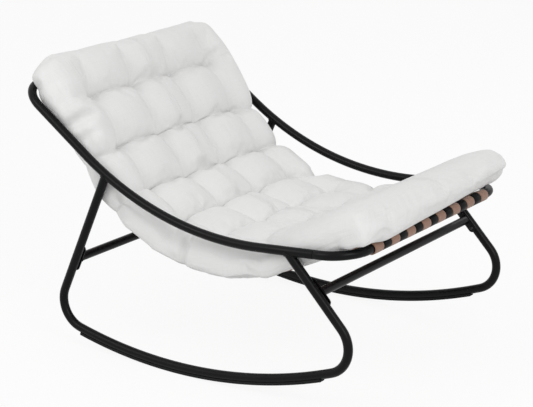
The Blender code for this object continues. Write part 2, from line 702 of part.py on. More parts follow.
def cushion_ring(along, floor_point, normal):
    """Closed ring of points round the cushion at one station, left edge first."""
    head = along + CUSHION_HEAD_OVERHANG
    foot = SLING_LENGTH + CUSHION_FOOT_OVERHANG - along
    end = min(head, foot)
    rows = row_places()
    row = max(crease(along - place) for place in rows)
    tufted = 1.0 - min(max((along - rows[-1]) / PAD_START, 0.0), 1.0)
    half = CUSHION_HALF_WIDTH - CUSHION_DRAW_IN * row
    half -= CUSHION_CORNER_RADIUS * (1.0 - quarter_round(end / CUSHION_CORNER_RADIUS))
    ending = quarter_round(end / CUSHION_END_ROUND)
    columns = [TUFT_COLUMN_PITCH * (k - (TUFT_COLUMNS - 1) / 2) for k in range(TUFT_COLUMNS)]
    shoulder = half - CUSHION_SHOULDER
    outer = min(columns[-1], shoulder)
    across = [outer * k / TUFT_CELLS / 1.5 for k in range(TUFT_CELLS * 3 // 2 + 1)]
    across += [outer + (shoulder - outer) * part for part in (0.5, 1.0)]
    across += [half - CUSHION_SHOULDER * part for part in (0.55, 0.2, 0.0)]
    top = []
    for y in across:
        column = max(crease(y - place) for place in columns) * tufted
        side = max(0.0, y - outer) / (half - outer)
        puff = CUSHION_THICKNESS - TUFT_COLUMN_DEPTH * column
        puff -= TUFT_ROW_DEPTH * row * (1.0 - TUFT_SIDE_FADE * side)
        puff -= TUFT_POINT_DEPTH * row * column
        crown = quarter_round((half - y) / CUSHION_SHOULDER)
        height = CUSHION_SEAM_HEIGHT + (puff - CUSHION_SEAM_HEIGHT) * crown
        low = CUSHION_SEAM_HEIGHT + CUSHION_SEAM_LIP * crown
        top.append((y, low + (height - low) * ending))
    from_bar = min(along, SLING_LENGTH - along) / CUSHION_BAR_REACH
    wide = min(max(2.0 - from_bar, 0.0), 1.0)
    under_round = CUSHION_SIDE_ROUND + (CUSHION_BAR_ROUND - CUSHION_SIDE_ROUND) * wide
    under = []
    for turn in (60, 30, 0):
        y = half - under_round * (1.0 - math.sin(math.radians(turn)))
        lift = CUSHION_SEAM_HEIGHT * (1.0 - math.cos(math.radians(turn)))
        high = CUSHION_SEAM_HEIGHT - CUSHION_SEAM_LIP
        under.append((y, high + (lift - high) * ending if lift < high else lift))
    outline = [(-y, z) for y, z in reversed(top)] + top[1:] + under + [(0.0, under[-1][1])]
    outline += [(-y, z) for y, z in reversed(under)]
    return [floor_point + Vector((0.0, y, 0.0)) + normal * z for y, z in outline]


def make_cushion(parent, paint):
    """Tufted cushion lying on the straps; its ring normals follow the sling."""
    places = cushion_stations()
    line = [sling_point(place) for place in places]
    floor = offset_line(line, STRAP_THICKNESS / 2 + GAP)
    origin = sling_point(SLING_BACK_RUN + SLING_CURVE_RUN / 2)
    rings = []
    for along, point, base in zip(places, line, floor):
        normal = (base - point).normalized()
        rings.append([corner - origin for corner in cushion_ring(along, base, normal)])
    seat = bpy.data.objects.new("cushion_seat", None)
    bpy.context.scene.collection.objects.link(seat)
    seat.parent = parent
    seat.location = origin
    place("cushion", loft("cushion", rings, math.radians(80)), paint, seat)


def centre_on_origin(root):
    """Moves the root so that the chair's box is centred on the origin in X."""
    bpy.context.view_layer.update()
    graph = bpy.context.evaluated_depsgraph_get()
    spans = []
    for obj in bpy.data.objects:
        if obj.type == "MESH" and not obj.hide_render:
            shape = obj.evaluated_get(graph)
            spans += [(shape.matrix_world @ v.co).x for v in shape.data.vertices]
    root.location.x = -(min(spans) + max(spans)) / 2


def main():
    clear_scene()
    steel = material("black powder-coated steel", (0.013, 0.012, 0.014), 0.45, 0.3)
    rubber = material("black floor strip", (0.009, 0.009, 0.009), 0.75)
    webbing = material("brown elastic webbing", (0.35, 0.205, 0.155), 0.85)
    vinyl = material("black vinyl sleeve", (0.01, 0.01, 0.011), 0.3)
    zinc = material("black zinc screw", (0.02, 0.02, 0.02), 0.35, 0.9)
    cloth = material("off-white polyester cloth", (0.74, 0.74, 0.72), 0.9)
    root = bpy.data.objects.new("rocking_chair", None)
    bpy.context.scene.collection.objects.link(root)
    screw_cutters = make_screw_cutters(root)
    make_rails(root, steel)
    make_head_bar(root, steel)
    make_foot_bar(root, steel)
    make_rockers(root, steel, screw_cutters)
    make_runners(root, rubber)
    make_crossbars(root, steel)
    make_plates(root, steel, screw_cutters)
    make_screws(root, zinc)
    make_straps(root, webbing)
    make_sleeves(root, vinyl)
    make_cushion(root, cloth)
    centre_on_origin(root)


main()
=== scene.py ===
"""Looks of a low outdoor rocking chair: bent tube frame on rockers, webbing sling, tufted cushion.

Metres, +Z up, +X to the foot end, +Y to the sitter's left, as in the CAD frame.
"""

import json
import math

import bmesh
import bpy
import numpy as np
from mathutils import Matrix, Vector


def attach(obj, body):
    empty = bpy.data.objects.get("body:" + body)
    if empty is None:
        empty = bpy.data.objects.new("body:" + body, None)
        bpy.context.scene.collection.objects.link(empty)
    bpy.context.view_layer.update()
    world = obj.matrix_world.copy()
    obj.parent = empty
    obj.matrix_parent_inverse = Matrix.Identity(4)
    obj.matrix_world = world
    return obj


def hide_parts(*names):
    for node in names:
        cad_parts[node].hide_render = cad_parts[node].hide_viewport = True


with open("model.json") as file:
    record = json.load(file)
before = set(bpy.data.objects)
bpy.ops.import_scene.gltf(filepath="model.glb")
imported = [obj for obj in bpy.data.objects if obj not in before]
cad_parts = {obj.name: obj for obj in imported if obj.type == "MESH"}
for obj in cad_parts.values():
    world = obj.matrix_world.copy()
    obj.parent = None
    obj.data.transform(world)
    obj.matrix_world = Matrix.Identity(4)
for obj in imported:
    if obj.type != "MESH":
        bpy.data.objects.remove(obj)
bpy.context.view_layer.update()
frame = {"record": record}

bl_info = {
    "name": "Rocking chair",
    "version": (1, 0, 0),
    "blender": (4, 5, 0),
    "location": "3D View > Sidebar > Chair",
    "description": "Builds a metal rocking chair with a webbing sling and a tufted cushion",
    "category": "Object",
}

FLOOR_X = frame["record"]["mounts"][0]["pos_m"][0]
SIDES = {"left": 1, "right": -1}
JOINT_GAP = 0.0002  # half the seam between two tubes' ends
TOUCH_GAP = 0.0003  # between surfaces that touch on the real chair
# The photograph's camera: its place from the rockers' middle, its pitch and turn in radians, and
# its focal length and picture width in pixels.
CAMERA_PLACE = (2.7021, -3.8049, 1.7655)
CAMERA_PITCH = 0.28744
CAMERA_TURN = 0.61141
FOCAL_PIXELS = 1679.65
PHOTO_PIXELS = 533
SENSOR_WIDTH = 36.0  # millimetres
WHITE = (1.0, 1.0, 1.0, 1.0)
SURROUND_STRENGTH = 0.66  # of the light that the white surround gives
WELD_RIPPLES = 24  # round one weld
# Area lamps: place, size in metres and power in watts.
LAMPS = {
    "key_light": ((-1.3, -3.2, 2.8), 1.6, 38.0),
    "fill_light": ((5.1, -2.7, 3.9), 2.1, 127.0),
    "back_light": ((0.5, 3.4, 2.8), 1.6, 14.0),
}


def linear(code):
    """Linear colour of an sRGB hex value."""
    parts = [int(code[k : k + 2], 16) / 255 for k in (0, 2, 4)]
    return [c / 12.92 if c <= 0.04045 else ((c + 0.055) / 1.055) ** 2.4 for c in parts]


def length(name, default, description):
    """A size in metres."""
    return bpy.props.FloatProperty(
        name=name, description=description, default=default, unit="LENGTH", precision=4, min=0.0
    )


def angle(name, degrees, description):
    """An angle, given in degrees and kept in radians."""
    return bpy.props.FloatProperty(
        name=name, description=description, default=math.radians(degrees), subtype="ANGLE"
    )


def colour(name, code, description):
    """A colour, given as an sRGB hex value."""
    return bpy.props.FloatVectorProperty(
        name=name, description=description, default=linear(code), subtype="COLOR", min=0.0, max=1.0
    )


class ChairFrameSizes(bpy.types.PropertyGroup):
    tube: length("Tube", 0.025, "Diameter of the steel tube")
    spacing: length("Rail spacing", 0.81, "Between the axes of the two side rails")
    back_angle: angle("Back angle", 35.2, "Slope of the rail's back")
    seat_angle: angle("Seat angle", 4.4, "Slope of the rail's seat")
    curve_radius: length("Rail curve", 0.906, "Radius of the curve between back and seat")
    vertex_x: bpy.props.FloatProperty(
        name="Vertex X", description="Where back and seat lines meet", default=-0.031, unit="LENGTH"
    )
    vertex_height: length("Vertex height", 0.389, "Height where back and seat lines meet")
    back_length: length("Back length", 0.604, "From the vertex to the head bar")
    seat_length: length("Seat length", 0.607, "From the vertex to the foot bar")
    head_corner: length("Head corner", 0.078, "Bend radius at the head bar")
    foot_corner: length("Foot corner", 0.09, "Bend radius at the foot bar")
    head_inset: length("Head joint", 0.03, "Straight tube between head corner and joint")
    foot_inset: length("Foot joint", 0.017, "Straight tube between foot corner and joint")
    rocker_radius: length("Rocker radius", 1.447, "Radius of the rocker's axis")
    bend_radius: length("Leg bend", 0.078, "Bend radius between rocker and legs")
    rear_angle: angle("Rear leg", 65.6, "Slope of the rear leg")
    front_angle: angle("Front leg", 46.4, "Slope of the front leg, leaning back")
    rear_x: bpy.props.FloatProperty(
        name="Rear leg X", description="Where its axis meets the floor", default=-0.4616, unit="LENGTH"
    )
    front_x: bpy.props.FloatProperty(
        name="Front leg X", description="Where its axis meets the floor", default=0.7831, unit="LENGTH"
    )
    strip: length("Floor strip", 0.0055, "Thickness of the strip under the rocker")
    strip_width: length("Strip width", 0.022, "Width of the strip under the rocker")
    rear_bar: length("Rear crossbar", 0.262, "Height of the rear crossbar")
    front_bar: length("Front crossbar", 0.3225, "Height of the front crossbar")
    plate_length: length("Plate length", 0.085, "Of a crossbar's end plate")
    plate_width: length("Plate width", 0.025, "Of a crossbar's end plate")
    plate: length("Plate", 0.004, "Thickness of a crossbar's end plate")
    screw_spacing: length("Screw spacing", 0.058, "Between the two screws of a plate")
    paint: colour("Powder coat", "09090B", "Satin black coat of the steel")
    rubber: colour("Floor strip", "0C0C0D", "Extruded strip under the rockers")


class SlingSizes(bpy.types.PropertyGroup):
    count: bpy.props.IntProperty(name="Straps", description="Number of straps", default=8, min=2)
    width: length("Strap width", 0.041, "Width of a strap")
    thickness: length("Strap thickness", 0.003, "Thickness of a strap")
    margin: length("End margin", 0.010, "From an outer strap to the foot corner")
    back_angle: angle("Back angle", 51.1, "Slope where a strap leaves the head bar")
    seat_angle: angle("Seat angle", 26, "Slope where a strap reaches the foot bar")
    curve_radius: length("Curve", 0.52, "Radius of the sling's curve")
    loop: length("Loop", 0.06, "From a bar to where the tail meets the strap")
    tail: length("Tail", 0.03, "Sewn length of the tail")
    webbing: colour("Webbing", "98735F", "Dusty brown webbing")
    sleeve: colour("Sleeve", "060607", "Black vinyl sleeve")
    thread: colour("Thread", "937059", "Thread of the straps' seams")


class CushionSizes(bpy.types.PropertyGroup):
    half_width: length("Half width", 0.376, "Half the width before filling")
    head: length("Head overhang", 0.037, "Past the head bar, along the sling")
    foot: length("Foot overhang", 0.076, "Past the foot bar, along the sling")
    column_depth: length("Column depth", 0.020, "Depth of the soft crease between two columns")
    dimple: length("Dimple", 0.010, "Further depth at a tuft")
    rows: bpy.props.IntProperty(name="Rows", description="Rows of tufts", default=6, min=2)
    columns: bpy.props.IntProperty(name="Columns", description="Tufts in a row", default=4, min=2)
    pitch: length("Column pitch", 0.178, "Between two tufts of a row")
    head_depth: length("Head depth", 0.148, "From the head end to the first row")
    foot_depth: length("Foot depth", 0.4425, "From the last row to the foot end")
    step: length("Cloth step", 0.01, "Spacing of the cloth's points")
    cloth: colour("Cloth", "DDDDDC", "Off-white polyester canvas")


def heading(turn):
    """Unit vector in the side plane, at an angle up from +X."""
    return Vector((math.cos(turn), 0.0, math.sin(turn)))


def crossing(a, along_a, b, along_b):
    """Where two lines of the side plane cross."""
    across = Vector((-along_b.z, 0.0, along_b.x))
    return a + along_a * ((b - a).dot(across) / along_a.dot(across))


class ChairLines:
    """Axes of the frame in the side plane, worked out from the sizes."""

    def __init__(self, sizes):
        self.sizes = sizes
        self.back = heading(math.pi - sizes.back_angle)
        self.seat = heading(sizes.seat_angle)
        self.vertex = Vector((sizes.vertex_x + FLOOR_X, 0.0, sizes.vertex_height))
        self.head_bar = self.vertex + self.back * sizes.back_length
        self.foot_bar = self.vertex + self.seat * sizes.seat_length
        self.tangent = sizes.curve_radius * math.tan((sizes.back_angle + sizes.seat_angle) / 2)
        height = sizes.strip + sizes.tube / 2 + sizes.rocker_radius
        self.rocker_centre = Vector((FLOOR_X, 0.0, height))
        self.rear_leg = heading(sizes.rear_angle)
        self.front_leg = heading(math.pi - sizes.front_angle)
        self.rear_foot = Vector((sizes.rear_x + FLOOR_X, 0.0, 0.0))
        self.front_foot = Vector((sizes.front_x + FLOOR_X, 0.0, 0.0))
        rear_in = heading(sizes.rear_angle - math.pi / 2)
        front_in = heading(math.pi * 1.5 - sizes.front_angle)
        self.rear_bend, self.rear_arc = self.bend(self.rear_foot, self.rear_leg, rear_in)
        self.front_bend, self.front_arc = self.bend(self.front_foot, self.front_leg, front_in)
        self.rear_top, self.rear_rail = self.top(self.rear_foot, self.rear_leg)
        self.front_top, self.front_rail = self.top(self.front_foot, self.front_leg)

    def bend(self, foot, leg, inward):
        """Where a leg ends at its bend, and the arc's angle at the bend's other end."""
        radius = self.sizes.bend_radius
        away = foot + inward * radius - self.rocker_centre
        along = away.dot(leg)
        reach = self.sizes.rocker_radius - radius
        slide = -along - math.sqrt(along**2 - away.length_squared + reach**2)
        away = away + leg * slide
        return self.rocker_centre + away - inward * radius, math.atan2(away.x, -away.z)

    def top(self, foot, leg):
        """Where a leg's axis meets the rail's axis, and the rail's direction there."""
        sizes = self.sizes
        points = [self.head_bar]
        start = self.vertex + self.back * self.tangent
        normal = heading(math.pi / 2 - sizes.back_angle)
        centre = start + normal * sizes.curve_radius
        for k in range(201):
            turn = (sizes.back_angle + sizes.seat_angle) * k / 200 - sizes.back_angle
            points.append(centre - heading(math.pi / 2 + turn) * sizes.curve_radius)
        points.append(self.foot_bar)
        across = Vector((-leg.z, 0.0, leg.x))
        for a, b in zip(points, points[1:]):
            before = (a - foot).dot(across)
            after = (b - foot).dot(across)
            if before * after <= 0 and before != after:
                return a.lerp(b, before / (before - after)), (b - a).normalized()
        raise RuntimeError("a leg misses the rail")


class SlingLine:
    """Middle line of the straps in the side plane."""

    def __init__(self, lines, sling):
        self.down = heading(-sling.back_angle)
        self.up = heading(sling.seat_angle)
        self.back_normal = heading(math.pi / 2 - sling.back_angle)
        self.seat_normal = heading(math.pi / 2 + sling.seat_angle)
        corner = lines.sizes.tube / 2 / math.cos(math.pi / 12)
        self.loop_radius = corner + TOUCH_GAP + sling.thickness / 2
        self.head = lines.head_bar + self.back_normal * self.loop_radius
        self.foot = lines.foot_bar + self.seat_normal * self.loop_radius
        self.radius = sling.curve_radius
        self.start_turn = -sling.back_angle
        vertex = crossing(self.head, self.down, self.foot, self.up)
        turn = sling.back_angle + sling.seat_angle
        tangent = self.radius * math.tan(turn / 2)
        self.back_run = (vertex - self.head).length - tangent
        self.curve_end = self.back_run + self.radius * turn
        self.length = self.curve_end + (self.foot - vertex).length - tangent
        self.centre = self.head + self.down * self.back_run + self.back_normal * self.radius

    def at(self, along):
        """Point and upward normal at a distance from the head bar."""
        if along <= self.back_run:
            return self.head + self.down * along, self.back_normal
        if along >= self.curve_end:
            return self.foot + self.up * (along - self.length), self.seat_normal
        turn = (along - self.back_run) / self.radius + self.start_turn
        normal = heading(math.pi / 2 + turn)
        return self.centre - normal * self.radius, normal


def only(obj):
    """Makes this the one selected and active object."""
    bpy.ops.object.select_all(action="DESELECT")
    obj.select_set(True)
    bpy.context.view_layer.objects.active = obj


def named(name):
    """Takes the new primitive under its own name."""
    obj = bpy.context.active_object
    obj.name = name
    obj.data.name = name
    return obj


def apply_modifier(obj, kind, **settings):
    """Adds a modifier with these settings and applies it."""
    only(obj)
    modifier = obj.modifiers.new(kind.title(), kind)
    for key, value in settings.items():
        setattr(modifier, key, value)
    bpy.ops.object.modifier_apply(modifier=modifier.name)


def ease_edges(obj, width, segments, degrees):
    """Rounds the edges that turn more sharply than an angle."""
    limit = math.radians(degrees)
    apply_modifier(obj, "BEVEL", width=width, segments=segments, limit_method="ANGLE", angle_limit=limit)


def outward(obj):
    """Turns all faces outwards."""
    only(obj)
    bpy.ops.object.mode_set(mode="EDIT")
    bpy.ops.mesh.select_all(action="SELECT")
    bpy.ops.mesh.normals_make_consistent(inside=False)
    bpy.ops.object.mode_set(mode="OBJECT")


def settle(obj, body, finish, nodes=(), smooth=35.0):
    """Puts a piece's place in its mesh, gives it its finish and hangs it on its body."""
    only(obj)
    bpy.ops.object.transform_apply(location=True, rotation=True, scale=True)
    bpy.ops.object.shade_smooth_by_angle(angle=math.radians(smooth))
    obj.data.materials.clear()
    obj.data.materials.append(finish)
    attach(obj, body)
    if nodes:
        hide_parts(*nodes)


def copy_of(obj, name):
    """A second piece with a mesh of its own."""
    twin = obj.copy()
    twin.data = obj.data.copy()
    twin.name = name
    twin.data.name = name
    bpy.context.scene.collection.objects.link(twin)
    return twin


def bent_tube(name, start, direction, runs, radius, sides=32):
    """Tube drawn from a round face: each run goes straight on, or turns to a new direction."""
    bpy.ops.object.select_all(action="DESELECT")
    turn = direction.to_track_quat("Z", "Y").to_euler()
    bpy.ops.mesh.primitive_circle_add(
        vertices=sides, radius=radius, fill_type="NGON", location=start, rotation=turn
    )
    obj = named(name)
    bpy.ops.object.mode_set(mode="EDIT")
    bpy.ops.mesh.select_all(action="SELECT")
    point = start.copy()
    for run in runs:
        if len(run) == 1:
            step = direction * run[0]
            bpy.ops.mesh.extrude_region_move(TRANSFORM_OT_translate={"value": step})
            point = point + step
            continue
        bend, target, steps = run
        axis = direction.cross(target).normalized()
        centre = point + axis.cross(direction) * bend
        swing = -direction.angle(target)
        bpy.ops.mesh.spin(steps=steps, angle=swing, center=centre, axis=axis)
        point = centre - axis.cross(target) * bend
        direction = target
    bpy.ops.object.mode_set(mode="OBJECT")
    outward(obj)
    return obj


def add_node(tree, kind, values=None, links=None, **settings):
    """Adds one node with its settings, input values and links."""
    node = tree.nodes.new(kind)
    for key, value in settings.items():
        setattr(node, key, value)
    for key, value in (values or {}).items():
        node.inputs[key].default_value = value
    for key, source in (links or {}).items():
        tree.links.new(source, node.inputs[key])
    return node


def blank_finish(name, values):
    """New material with one Principled shader, whose constants are set on its own sockets."""
    made = bpy.data.materials.new(name)
    made.use_nodes = True
    shader = made.node_tree.nodes["Principled BSDF"]
    for key, value in values.items():
        shader.inputs[key].default_value = value
    return made, made.node_tree


def dress(made, outputs):
    """Links what was worked out to the finish's one shader."""
    shader = made.node_tree.nodes["Principled BSDF"]
    for socket, source in outputs.items():
        made.node_tree.links.new(source, shader.inputs[socket])
    return made


def shade(rgb, factor):
    """The same hue, lighter or darker."""
    return [min(1.0, c * factor) for c in rgb] + [1.0]


def object_place(tree):
    """Place on the piece in metres."""
    return add_node(tree, "ShaderNodeTexCoord").outputs["Object"]


def weave_place(tree):
    """Place on the cloth in millimetres, from its own UV map."""
    return add_node(tree, "ShaderNodeUVMap", uv_map="weave").outputs["UV"]


def noise(tree, where, scale, detail, stretch=None, distortion=0.0):
    """Noise, drawn out by its own scale along each axis."""
    if stretch:
        where = add_node(tree, "ShaderNodeMapping", {"Scale": stretch}, {"Vector": where}).outputs["Vector"]
    values = {"Scale": scale, "Detail": detail, "Distortion": distortion}
    return add_node(tree, "ShaderNodeTexNoise", values, {"Vector": where}).outputs["Fac"]


def calculate(tree, operation, *terms):
    """One Math node, worked on numbers and other nodes' outputs."""
    values = {k: term for k, term in enumerate(terms) if isinstance(term, float)}
    links = {k: term for k, term in enumerate(terms) if not isinstance(term, float)}
    return add_node(tree, "ShaderNodeMath", values, links, operation=operation).outputs[0]


def ramp(tree, source, low, high, span=(0.0, 1.0)):
    """Colour that goes from one tint to another over a span of the source."""
    node = add_node(tree, "ShaderNodeValToRGB", links={"Fac": source})
    for stop, place, tint in zip(node.color_ramp.elements, span, (low, high)):
        stop.position = place
        stop.color = tint
    return node.outputs["Color"]


def rescale(tree, source, low, high, span=(0.0, 1.0)):
    """Value that goes from low to high over a span of the source."""
    values = {"From Min": span[0], "From Max": span[1], "To Min": low, "To Max": high}
    return add_node(tree, "ShaderNodeMapRange", values, {"Value": source}).outputs["Result"]


def relief(tree, source, strength, distance, under=None):
    """Bump, laid over another one where there is one."""
    links = {"Height": source}
    if under is not None:
        links["Normal"] = under
    values = {"Strength": strength, "Distance": distance}
    return add_node(tree, "ShaderNodeBump", values, links).outputs["Normal"]


def powder_coat(rgb):
    # Polyester powder coat, baked on: satin, with a fine orange-peel skin about 2 mm across,
    # drawn at 3 mm so that it shows, and a little dust that greys it in soft patches.
    made, tree = blank_finish("black powder coat", {"IOR": 1.5, "Specular IOR Level": 0.13})
    where = object_place(tree)
    dust = noise(tree, where, 9.0, 4.0)
    peel = noise(tree, where, 330.0, 1.0)
    tint = ramp(tree, dust, shade(rgb, 0.85), shade(rgb, 1.3), (0.35, 0.75))
    rough = rescale(tree, dust, 0.3, 0.42, (0.3, 0.7))
    return dress(made, {"Base Color": tint, "Roughness": rough, "Normal": relief(tree, peel, 0.12, 0.0006)})


def extruded_rubber(rgb):
    # Extruded rubber: dull, with scuffs along its foot where it rolls on the floor.
    made, tree = blank_finish("extruded floor rubber", {"IOR": 1.52, "Specular IOR Level": 0.25})
    where = object_place(tree)
    grit = noise(tree, where, 260.0, 3.0)
    scuff = noise(tree, where, 3.0, 5.0, (6.0, 120.0, 120.0))
    tint = ramp(tree, scuff, shade(rgb, 0.9), shade(rgb, 2.2), (0.45, 0.8))
    rough = rescale(tree, grit, 0.7, 0.9)
    return dress(made, {"Base Color": tint, "Roughness": rough, "Normal": relief(tree, grit, 0.25, 0.0005)})


def woven_webbing(rgb):
    # Woven polypropylene webbing: ribs run along the strap 3 mm apart, with weft bars across
    # every 2 mm, and single yarns differ a little in shade. The UV map holds millimetres.
    fibre = {"Roughness": 0.82, "IOR": 1.49, "Sheen Weight": 0.25, "Sheen Roughness": 0.5}
    made, tree = blank_finish("brown polypropylene webbing", fibre)
    where = weave_place(tree)
    parts = add_node(tree, "ShaderNodeSeparateXYZ", links={"Vector": where}).outputs
    rib = calculate(tree, "COSINE", calculate(tree, "MULTIPLY", parts["Y"], 2 * math.pi / 3.0))
    weft = calculate(tree, "SINE", calculate(tree, "MULTIPLY", parts["X"], 2 * math.pi / 2.0))
    both = calculate(tree, "MULTIPLY_ADD", weft, 0.45, rib)
    yarn = noise(tree, where, 1.6, 3.0, (0.012, 0.4, 1.0))
    tint = ramp(tree, yarn, shade(rgb, 0.84), shade(rgb, 1.12), (0.3, 0.7))
    # Painted shade: the colour is darkened where the weave's height is low, in the grooves between ribs and
    # weft bars.
    painted_groove_shade = rescale(tree, both, 0.72, 1.0, (-1.4, 1.0))
    mixed = add_node(
        tree, "ShaderNodeMix", {"Factor": 1.0}, {6: tint, 7: painted_groove_shade}, data_type="RGBA", blend_type="MULTIPLY"
    )
    return dress(made, {"Base Color": mixed.outputs[2], "Normal": relief(tree, both, 0.5, 0.0005)})


def vinyl(rgb):
    # Soft PVC sleeve, extruded: smooth and half glossy, with faint draw lines along it.
    made, tree = blank_finish("black vinyl sleeve", {"IOR": 1.53, "Specular IOR Level": 0.06})
    lines = noise(tree, object_place(tree), 1.0, 2.0, (260.0, 8.0, 260.0))
    tint = ramp(tree, lines, shade(rgb, 0.8), shade(rgb, 1.25))
    rough = rescale(tree, lines, 0.3, 0.48)
    return dress(made, {"Base Color": tint, "Roughness": rough, "Normal": relief(tree, lines, 0.1, 0.0004)})


def black_zinc():
    # Zinc-plated steel, passivated black: dark metal with a faint mottle.
    made, tree = blank_finish("black zinc plate", {"Metallic": 0.85})
    mottle = noise(tree, object_place(tree), 420.0, 3.0)
    tint = ramp(tree, mottle, shade(linear("2A2A2C"), 1.0), shade(linear("454548"), 1.0))
    return dress(made, {"Base Color": tint, "Roughness": rescale(tree, mottle, 0.32, 0.5)})


def canvas(rgb):
    # Polyester canvas in plain weave: matte, with slubs along both threads. The real threads
    # are 0.5 mm apart and too fine to show, so the weave is drawn at 2.5 mm.
    fibre = {"Roughness": 0.92, "IOR": 1.45, "Sheen Weight": 0.12, "Sheen Roughness": 0.6}
    made, tree = blank_finish("off-white polyester canvas", fibre)
    where = weave_place(tree)
    parts = add_node(tree, "ShaderNodeSeparateXYZ", links={"Vector": where}).outputs
    waves = [calculate(tree, "MULTIPLY", parts[axis], 2 * math.pi / 2.5) for axis in ("X", "Y")]
    weave = calculate(tree, "MULTIPLY", *(calculate(tree, "SINE", wave) for wave in waves))
    slubs = [noise(tree, where, 1.0, 2.0, drawn) for drawn in ((0.02, 0.5, 1.0), (0.5, 0.02, 1.0))]
    slub = calculate(tree, "ADD", *slubs)
    tint = ramp(tree, slub, shade(rgb, 0.965), shade(rgb, 1.02), (0.6, 1.0))
    height = calculate(tree, "MULTIPLY_ADD", weave, 0.6, slub)
    # Pull marks of the filled cloth: soft folds about 30 mm apart and four times as long.
    pulls = noise(tree, where, 1.0, 3.0, (0.009, 0.034, 1.0), 0.6)
    folds = relief(tree, pulls, 0.6, 0.006)
    return dress(made, {"Base Color": tint, "Normal": relief(tree, height, 0.18, 0.0004, folds)})


def sewing_thread(rgb):
    # Twisted polyester thread: slanting plies 1.2 mm apart, soft sheen.
    made, tree = blank_finish("brown sewing thread", {"Roughness": 0.7, "IOR": 1.5})
    turned = add_node(
        tree, "ShaderNodeMapping", {"Rotation": (0.0, 0.0, 0.7)}, {"Vector": object_place(tree)}
    ).outputs["Vector"]
    twist = {"Scale": 260.0, "Distortion": 0.6}
    ply = add_node(tree, "ShaderNodeTexWave", twist, {"Vector": turned}).outputs["Fac"]
    # Painted shade: the colour is darker where the ply wave dips, in the grooves between the plies.
    tint = ramp(tree, ply, shade(rgb, 0.8), shade(rgb, 1.05))
    return dress(made, {"Base Color": tint, "Normal": relief(tree, ply, 0.3, 0.0003)})


def finish_named(name, maker, *values):
    """The finish of that name, made on its first use."""
    return bpy.data.materials.get(name) or maker(*values)


def coat(scene):
    """The frame's powder coat."""
    return finish_named("black powder coat", powder_coat, scene.chair_frame.paint)


class ChairPiece:
    """What the operators share: they can be undone, and each reads the scene's sizes."""

    bl_options = {"REGISTER", "UNDO"}


class CHAIR_OT_rails(ChairPiece, bpy.types.Operator):
    """Bent side rails, straight head bar and U-shaped foot bar"""

    bl_idname = "chair.rails"
    bl_label = "Rails and bars"

    def execute(self, context):
        sizes = context.scene.chair_frame
        lines = ChairLines(sizes)
        paint = coat(context.scene)
        half = sizes.spacing / 2
        radius = sizes.tube / 2
        for side, sign in SIDES.items():
            out = Vector((0.0, sign, 0.0))
            start = lines.head_bar + out * (half - sizes.head_corner - sizes.head_inset + JOINT_GAP)
            back = sizes.back_length - sizes.head_corner - lines.tangent
            seat = sizes.seat_length - lines.tangent - sizes.foot_corner - sizes.foot_inset
            runs = [
                (sizes.head_inset - JOINT_GAP,),
                (sizes.head_corner, -lines.back, 14),
                (back,),
                (sizes.curve_radius, lines.seat, 32),
                (seat - JOINT_GAP,),
            ]
            rail = bent_tube(f"rail_{side}", start, out, runs, radius)
            self.soften_ends(rail)
            settle(rail, "frame", paint, [f"side_rail_{side}"])
        head = half - sizes.head_corner - sizes.head_inset - JOINT_GAP
        left = Vector((0.0, 1.0, 0.0))
        bar = bent_tube("head_tube", lines.head_bar - left * head, left, [(2 * head,)], radius)
        self.soften_ends(bar)
        settle(bar, "frame", paint, ["head_bar"])
        joint = lines.foot_bar - lines.seat * (sizes.foot_corner + sizes.foot_inset - JOINT_GAP)
        runs = [
            (sizes.foot_inset - JOINT_GAP,),
            (sizes.foot_corner, -left, 18),
            (sizes.spacing - 2 * sizes.foot_corner,),
            (sizes.foot_corner, -lines.seat, 18),
            (sizes.foot_inset - JOINT_GAP,),
        ]
        bar = bent_tube("foot_tube", joint + left * half, lines.seat, runs, radius)
        self.soften_ends(bar)
        settle(bar, "frame", paint, ["foot_bar"])
        return {"FINISHED"}

    @staticmethod
    def soften_ends(obj):
        """Rounds the cut ends, so that each joint shows as a fine dark line."""
        ease_edges(obj, 0.0016, 2, 60)


